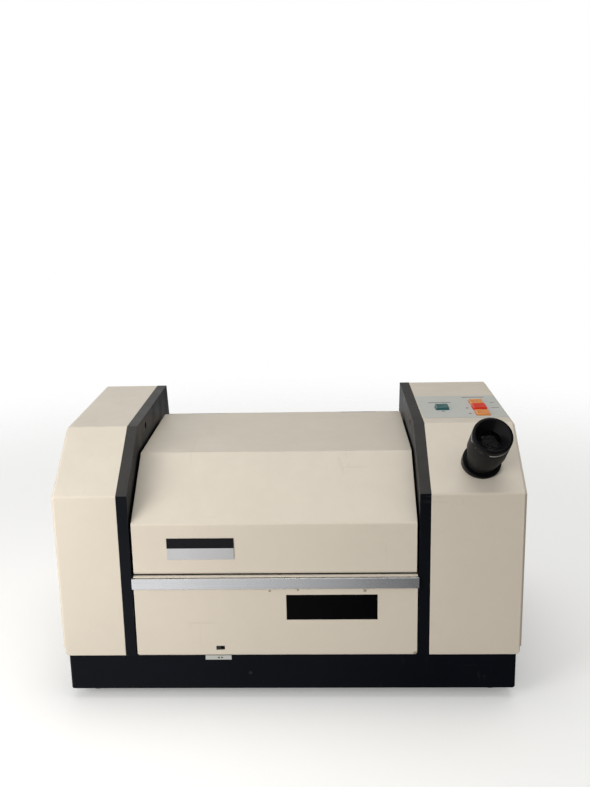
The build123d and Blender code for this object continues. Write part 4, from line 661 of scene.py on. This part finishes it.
def clear(name, base, roughness=0.03, index=1.5, dust=0.06):
    """Glass or clear plastic, tinted all through and slightly smeared."""
    material = bpy.data.materials.new(name)
    material.use_nodes = True
    material.diffuse_color = base
    tree = material.node_tree
    shader = tree.nodes["Principled BSDF"]
    shader.inputs["Transmission Weight"].default_value = 1.0
    shader.inputs["Metallic"].default_value = 0.0
    shader.inputs["IOR"].default_value = index
    tint = use(tree, "Tone", Color=base, Amount=0.04).outputs[0]
    tree.links.new(tint, shader.inputs["Base Color"])
    smear = remap(tree, noise(tree, 30.0, 5.0, 0.65, None, 1.0), 0.40, 0.75, roughness, roughness + dust)
    tree.links.new(smear, shader.inputs["Roughness"])
    return material


# %% [markdown]
# The covers are folded steel sheet under warm cream enamel, baked on, so it has a slight orange peel and a
# soft sheen. Where something has knocked it, a brownish mark shows: three under the strip and one at the
# panel's corner. The base and the cheek plates are enamelled blue-black, and their edges have gone grey.

# %% Enamel
CREAM = colour(0.80, 0.72, 0.60)
BLUE_BLACK = colour(0.0035, 0.0045, 0.0075)
finishes = {}
PANEL_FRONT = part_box("front_panel")[0].y
KNOCKS = [
    (Vector((-0.0183, PANEL_FRONT, 0.1102)), 2.0 * MM),
    (Vector((0.0079, PANEL_FRONT, 0.1110)), 1.8 * MM),
    (Vector((0.0697, PANEL_FRONT, 0.1100)), 2.4 * MM),
    (Vector((0.1165, PANEL_FRONT, 0.0462)), 3.2 * MM),
]
BASE_KNOCKS = [(Vector((-0.0387, base_front, 0.0267)), 2.6 * MM)]
# On the cream the dust on the tops is partly painted shade: every face that looks up is painted darker and greyer.
finishes["cream_paint"] = finish(
    "cream enamel", CREAM, 0.36, tone=0.07, grain=650.0, grain_height=0.05, soft_edge=0.5, dust=0.30,
    wear=0.35, wear_colour=colour(0.42, 0.35, 0.26), scuffs=0.10, scuff_colour=colour(0.42, 0.36, 0.29),
    chips=KNOCKS, chip_colour=colour(0.42, 0.35, 0.27),
)
finishes["base_paint"] = finish(
    "blue-black enamel", BLUE_BLACK, 0.36, shine=0.10, tone=0.5, grain=700.0, grain_height=0.04,
    soft_edge=0.6, dust=0.03, wear=0.35, wear_colour=colour(0.05, 0.05, 0.055), scuffs=0.12,
    scuff_colour=colour(0.08, 0.08, 0.085), chips=BASE_KNOCKS, chip_colour=colour(0.022, 0.022, 0.022),
)
# On the cheeks the dust on the tops is partly a painted reflection: every face that looks up is painted a lighter
# grey.
finishes["cheek_paint"] = finish(
    "cheek enamel", BLUE_BLACK, 0.40, shine=0.14, tone=0.5, grain=800.0, grain_height=0.04, soft_edge=0.5,
    dust=0.16, wear=0.5, wear_colour=colour(0.09, 0.09, 0.095), scuffs=0.2,
    scuff_colour=colour(0.10, 0.10, 0.10),
)
print("enamels:", ", ".join(finishes))

# %% [markdown]
# The metals: a brushed aluminium strip, a satin nameplate, turned and plated fittings, and the brass and
# steel of the drive. The brushing runs along the strip, as it does when the bar is drawn past a belt.

# %% Metals
finishes["strip_metal"] = finish(
    "brushed aluminium", colour(0.90, 0.91, 0.93), 0.26, metallic=1.0, tone=0.05, grain_height=0.004,
    soft_edge=0.4, brushed=0.4, scuffs=0.2, scuff_colour=colour(0.5, 0.5, 0.5),
)
METALS = {
    "trough_metal": (colour(0.70, 0.70, 0.69), 0.30, 0.6),
    "plain_aluminium": (colour(0.62, 0.62, 0.61), 0.38, 0.5),
    "bearing_brass": (colour(0.62, 0.45, 0.18), 0.30, 0.3),
    "wheel_brass": (colour(0.66, 0.49, 0.20), 0.28, 0.4),
    "pinion_steel": (colour(0.50, 0.50, 0.51), 0.30, 0.4),
    "motor_steel": (colour(0.45, 0.45, 0.47), 0.36, 0.3),
    "hinge_steel": (colour(0.55, 0.55, 0.56), 0.33, 0.6),
    "pin_brass": (colour(0.72, 0.68, 0.56), 0.26, 0.3),
    "tube_metal": (colour(0.62, 0.62, 0.62), 0.22, 0.2),
    "case_screws": (colour(0.48, 0.46, 0.43), 0.34, 0.2),
    "dark_screws": (colour(0.06, 0.06, 0.065), 0.42, 0.0),
}
for slot, (base, roughness, brushed) in METALS.items():
    finishes[slot] = finish(
        slot.replace("_", " "), base, roughness, metallic=1.0, tone=0.12, soft_edge=0.25, brushed=brushed,
        wear=0.2, wear_colour=colour(0.6, 0.6, 0.6),
    )
print(len(METALS) + 1, "metals")

# %% [markdown]
# The rest is moulded or coated: rubber feet with a dry bloom, the matte black chamber lining that keeps
# stray light down, circuit boards under green lacquer, and the plastics of the switches and keys. The
# glasses and the window are clear materials, and a lens coating is shown by a lower index, which mirrors
# less.

# %% Plastics, rubber and coatings
COATINGS = {
    "foot_rubber": dict(
        base=colour(0.022, 0.022, 0.022), roughness=0.75, grain=500.0, grain_height=0.08, dust=0.2,
    ),
    "circuit_board": dict(base=colour(0.02, 0.11, 0.045), roughness=0.32, tone=0.3, coat=0.3),
    "digit_plastic": dict(base=colour(0.05, 0.012, 0.012), roughness=0.3, tone=0.2),
    "switch_plastic": dict(base=colour(0.03, 0.03, 0.03), roughness=0.4, grain_height=0.03),
    "chamber_paint": dict(
        base=colour(0.018, 0.018, 0.019), roughness=0.62, grain=1100.0, grain_height=0.06, dust=0.2,
    ),
    "black_anodised": dict(base=colour(0.016, 0.016, 0.018), roughness=0.38, scuffs=0.2),
    "polarising_sheet": dict(base=colour(0.05, 0.055, 0.05), roughness=0.12),
    "mirror": dict(
        base=colour(0.88, 0.88, 0.88), roughness=0.06, metallic=1.0, tone=0.02, grain_height=0.002,
    ),
    "black_plastic": dict(
        base=colour(0.022, 0.022, 0.023), roughness=0.34, grain=800.0, grain_height=0.03, dust=0.1,
    ),
    "rocker_plastic": dict(base=colour(0.03, 0.03, 0.03), roughness=0.28, grain_height=0.01, dust=0.08),
    "transformer_steel": dict(base=colour(0.14, 0.12, 0.10), roughness=0.5, tone=0.5),
    "black_gloss": dict(
        base=colour(0.004, 0.004, 0.005), roughness=0.26, shine=0.14, grain_height=0.01, soft_edge=0.3,
        scuffs=0.12, scuff_colour=colour(0.05, 0.05, 0.05),
    ),
    "barrel_black": dict(
        base=colour(0.009, 0.009, 0.0095), roughness=0.50, shine=0.14, grain=1500.0, grain_height=0.05,
        soft_edge=0.3, dust=0.02, wear=0.5, wear_colour=colour(0.4, 0.4, 0.4),
    ),
    "control_plate": dict(
        base=colour(0.60, 0.61, 0.57), roughness=0.42, grain=1200.0, dust=0.15, scuffs=0.1,
    ),
    "green_plastic": dict(
        base=colour(0.018, 0.115, 0.12), roughness=0.3, tone=0.15, grain_height=0.01, dust=0.12,
    ),
    "red_plastic": dict(
        base=colour(0.76, 0.040, 0.016), roughness=0.34, shine=0.3, grain_height=0.01, dust=0.06,
    ),
    "orange_plastic": dict(
        base=colour(0.80, 0.30, 0.07), roughness=0.34, shine=0.35, tone=0.15, grain_height=0.01, dust=0.08,
    ),
}
for slot, settings in COATINGS.items():
    finishes[slot] = finish(slot.replace("_", " "), **settings)
finishes["window_acrylic"] = clear("dark red acrylic", colour(0.006, 0.0006, 0.001), 0.04, 1.2, 0.04)
finishes["optical_glass"] = clear("coated optical glass", colour(0.93, 0.95, 0.94), 0.01, 1.22, 0.03)
finishes["yellow_glass"] = clear("yellow filter glass", colour(0.85, 0.55, 0.05), 0.02, 1.5)
finishes["lamp_glass"] = clear("lamp glass", colour(0.9, 0.88, 0.8), 0.05, 1.5)
print(len(COATINGS), "coatings and plastics, 4 clear materials")

# %% [markdown]
# Two finishes depend on where they lie on the eyepiece. The lens tube is blackened inside, so that no
# stray light gets past the lens, and the barrel's paint is worn to bright metal in patches along its upper
# rim, where it is gripped.


# %% Blackened bore and worn rim
def recolour(material, mask, tint):
    """Lay another colour over a finish where a mask says so."""
    tree = material.node_tree
    shader = tree.nodes["Principled BSDF"]
    under = shader.inputs["Base Color"].links[0].from_socket
    tree.links.new(blend(tree, mask, under, tint), shader.inputs["Base Color"])


MASK_EDGE = 0.1 * MM
TUBE_BORE = 11.2 * MM
tube_tree = finishes["tube_metal"].node_tree
inside = remap(tube_tree, use(tube_tree, "Lathe").outputs["Radius"], TUBE_BORE + MASK_EDGE, TUBE_BORE)
recolour(finishes["tube_metal"], inside, colour(0.006, 0.006, 0.007))

RIM_WIDTH = 0.5 * MM
rim_tree = finishes["barrel_black"].node_tree
rim_reach = use(rim_tree, "Lathe").outputs["Reach"]
near_rim = remap(rim_tree, rim_reach, barrel_end - RIM_WIDTH - MASK_EDGE, barrel_end - RIM_WIDTH)
patches = remap(rim_tree, noise(rim_tree, 95.0, 3.0, 0.6), 0.49, 0.53)
recolour(finishes["barrel_black"], maths(rim_tree, "MULTIPLY", near_rim, patches), colour(0.55, 0.55, 0.56))
print("tube blackened inside", round(TUBE_BORE / MM, 1), "mm, rim worn", round(RIM_WIDTH / MM, 1), "mm wide")

# %% [markdown]
# The nameplate is a thin aluminium plate, its upper band printed black and its lower band left silver.
# What was lettered on it is left off, so the two bands are all it shows.

# %% Nameplate
SILVER_SHARE = 0.53
PRINT_EDGE = 0.05 * MM


def two_tone(name, low_z, high_z, share):
    """Silver below, black above, with the printed edge a little soft."""
    material = finish(
        name, colour(0.80, 0.79, 0.80), 0.32, metallic=1.0, shine=0.15, tone=0.08, grain_height=0.005,
        soft_edge=0.2,
    )
    tree = material.node_tree
    place = add(tree, "SeparateXYZ", {0: add(tree, "TexCoord").outputs["Object"]})
    split = low_z + (high_z - low_z) * share
    band = remap(tree, place.outputs["Z"], split - PRINT_EDGE, split + PRINT_EDGE)
    recolour(material, band, colour(0.008, 0.008, 0.011))
    metal = remap(tree, band, 0.0, 1.0, 1.0, 0.0)
    tree.links.new(metal, tree.nodes["Principled BSDF"].inputs["Metallic"])
    return material


plate_low, plate_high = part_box("nameplate")
finishes["nameplate_metal"] = two_tone("nameplate", plate_low.z, plate_high.z, SILVER_SHARE)
print("nameplate silver up to", round(SILVER_SHARE * 100), "% of its height")

# %% [markdown]
# Every piece now takes the finish of its slot. A piece that stands for a built one takes the same slot, so
# a change of colour reaches both.


# %% Dress the pieces
def dress(piece, slot):
    """Give a piece one finish."""
    piece.data.materials.clear()
    piece.data.materials.append(finishes[slot])


for node, piece in parts.items():
    dress(piece, frame_slot(node))
for node, key in keys.items():
    dress(key, frame_slot(node))
NEW_PIECES = [
    (barrel, "barrel_black"),
    (cup, "black_gloss"),
    (label, "control_plate"),
    (marks, "black_plastic"),
    (arrows, "black_plastic"),
]
for piece, slot in NEW_PIECES:
    dress(piece, slot)
print("dressed", len(parts), "pieces and", len(keys) + len(NEW_PIECES), "new ones")

# %% [markdown]
# The instrument stands on a pale floor that keeps its shadow and fades into white before a horizon can
# show. What the camera sees of it is near white. What the metal mirrors of it is a painted reflection: the
# floor glows for mirrored rays only, bright on the left and dim on the right, like a floor beside a window,
# and that gives the strip its run from light to dark.

# %% Floor
FLOOR_SIZE = 8.0
FLOOR_SEEN = colour(0.86, 0.86, 0.85)
FLOOR_MIRRORED = colour(0.04, 0.04, 0.04)
FLOOR_BOUNCED = colour(0.28, 0.27, 0.26)
FLOOR_LIFT = 0.20
SHEEN_LEFT = (-0.21, 0.80)
SHEEN_RIGHT = (0.15, 0.08)
FADE_FROM = 0.5
FADE_TO = 1.3
bpy.ops.object.select_all(action="DESELECT")
bpy.ops.mesh.primitive_plane_add(size=FLOOR_SIZE, location=(0, 0, 0))
floor = bpy.context.active_object
floor.name = "floor"
floor_material = bpy.data.materials.new("pale floor")
floor_material.use_nodes = True
floor.data.materials.append(floor_material)
tree = floor_material.node_tree
shader = tree.nodes["Principled BSDF"]
shader.inputs["Roughness"].default_value = 0.8
shader.inputs["Specular IOR Level"].default_value = 0.1
shader.inputs["Emission Color"].default_value = (1, 1, 1, 1)
ray = add(tree, "LightPath").outputs
unseen = blend(tree, ray["Is Glossy Ray"], FLOOR_BOUNCED, FLOOR_MIRRORED)
tree.links.new(blend(tree, ray["Is Camera Ray"], unseen, FLOOR_SEEN), shader.inputs["Base Color"])
place = add(tree, "TexCoord").outputs["Object"]
across = add(tree, "SeparateXYZ", {0: place}).outputs["X"]
# Painted reflection: the floor glows in mirrorings only, brighter on the left, which gives the strip its run.
sheen = remap(tree, across, SHEEN_LEFT[0], SHEEN_RIGHT[0], SHEEN_LEFT[1], SHEEN_RIGHT[1], smooth=False)
glow = maths(tree, "MULTIPLY", sheen, ray["Is Glossy Ray"])
lift = maths(tree, "MULTIPLY", ray["Is Camera Ray"], FLOOR_LIFT)
tree.links.new(maths(tree, "ADD", glow, lift), shader.inputs["Emission Strength"])
away = add(tree, "VectorMath", {0: place}, operation="LENGTH").outputs["Value"]
fade = remap(tree, away, FADE_FROM, FADE_TO, 1.0, 0.0)
solid = maths(tree, "MAXIMUM", fade, maths(tree, "SUBTRACT", 1.0, ray["Is Camera Ray"]))
tree.links.new(solid, shader.inputs["Alpha"])
print("floor", FLOOR_SIZE, "m wide, fading from", FADE_FROM, "to", FADE_TO, "m")

# %% [markdown]
# The light comes from near on the left, so a soft box stands close at the front left, and its light falls
# off from one column to the other. It is kept out of mirrorings, where it would leave a hard bright spot
# on the barrel. A weak ceiling light fills the tops, and the room gives the rest.


# %% Light
def soft_light(name, place, aim, size, power, tint):
    """A square soft box at a place, aimed at a point."""
    lamp = bpy.data.lights.new(name, "AREA")
    lamp.shape = "SQUARE"
    lamp.size = size
    lamp.energy = power
    lamp.color = tint
    holder = bpy.data.objects.new(name, lamp)
    holder.location = place
    holder.rotation_euler = (Vector(aim) - Vector(place)).to_track_quat("-Z", "Y").to_euler()
    holder.visible_camera = False
    bpy.context.collection.objects.link(holder)
    return holder


WINDOW = dict(place=(-0.68, -0.70, 0.34), aim=(-0.16, -0.12, 0.14), size=0.5, power=5.6)
CEILING = dict(place=(0.1, 0.3, 2.2), aim=(0, 0, 0.1), size=1.8, power=15.0)
window_light = soft_light("window light", tint=(1.0, 0.985, 0.97), **WINDOW)
window_light.visible_glossy = False
soft_light("ceiling light", tint=(1.0, 0.99, 0.97), **CEILING)
print("soft box of", WINDOW["power"], "W and ceiling light of", CEILING["power"], "W")

# %% [markdown]
# The room is plain white to the camera. Matt surfaces get a middle grey from it, and metal mirrors a room
# that is bright on the left and dim on the right, as the floor is.

# %% Room
ROOM_FILL = colour(0.46, 0.46, 0.46)
MIRROR_LEFT = (-0.42, 1.0)
MIRROR_RIGHT = (0.22, 0.10)
world = bpy.data.worlds.new("room")
world.use_nodes = True
bpy.context.scene.world = world
room = world.node_tree
back = room.nodes["Background"]
ray = add(room, "LightPath")
seen = maths(room, "MAXIMUM", ray.outputs["Is Camera Ray"], ray.outputs["Is Transmission Ray"])
side = add(room, "SeparateXYZ", {0: add(room, "TexCoord").outputs["Generated"]}).outputs["X"]
mirrored = remap(room, side, MIRROR_LEFT[0], MIRROR_RIGHT[0], MIRROR_LEFT[1], MIRROR_RIGHT[1])
fill = blend(room, ray.outputs["Is Glossy Ray"], ROOM_FILL, mirrored)
strength = blend(room, seen, fill, colour(1, 1, 1))
back.inputs["Color"].default_value = (1, 1, 1, 1)
room.links.new(strength, back.inputs["Strength"])
print("room bright to the left and dim to the right in mirrorings")

# %% [markdown]
# The camera stands where the photographer stood, in front, a little above and slightly turned. Its place,
# its three angles and its lens come from fitting the instrument's corners to the photo.

# %% Camera
PICTURE = (590, 787)
FOCAL_PIXELS = 945.0
TURN, TILT, ROLL = math.radians(2.01), math.radians(13.74), math.radians(-1.20)
STAND = Vector((37.16, -932.61, 494.61)) * MM
forward = Vector((-math.sin(TURN) * math.cos(TILT), math.cos(TURN) * math.cos(TILT), -math.sin(TILT)))
level_right = forward.cross(Vector((0, 0, 1))).normalized()
level_up = level_right.cross(forward)
right = level_right * math.cos(ROLL) + level_up * math.sin(ROLL)
up = level_up * math.cos(ROLL) - level_right * math.sin(ROLL)
camera_data = bpy.data.cameras.new("camera")
camera_data.sensor_fit = "VERTICAL"
camera_data.sensor_height = 36.0
camera_data.lens = FOCAL_PIXELS / PICTURE[1] * camera_data.sensor_height
camera = bpy.data.objects.new("camera", camera_data)
camera.matrix_world = Matrix.Translation(STAND) @ Matrix((right, up, -forward)).transposed().to_4x4()
bpy.context.collection.objects.link(camera)
bpy.context.scene.camera = camera
bpy.context.scene.view_settings.view_transform = "Standard"
print("camera at", [round(value, 3) for value in STAND], "with a", round(camera_data.lens, 1), "mm lens")
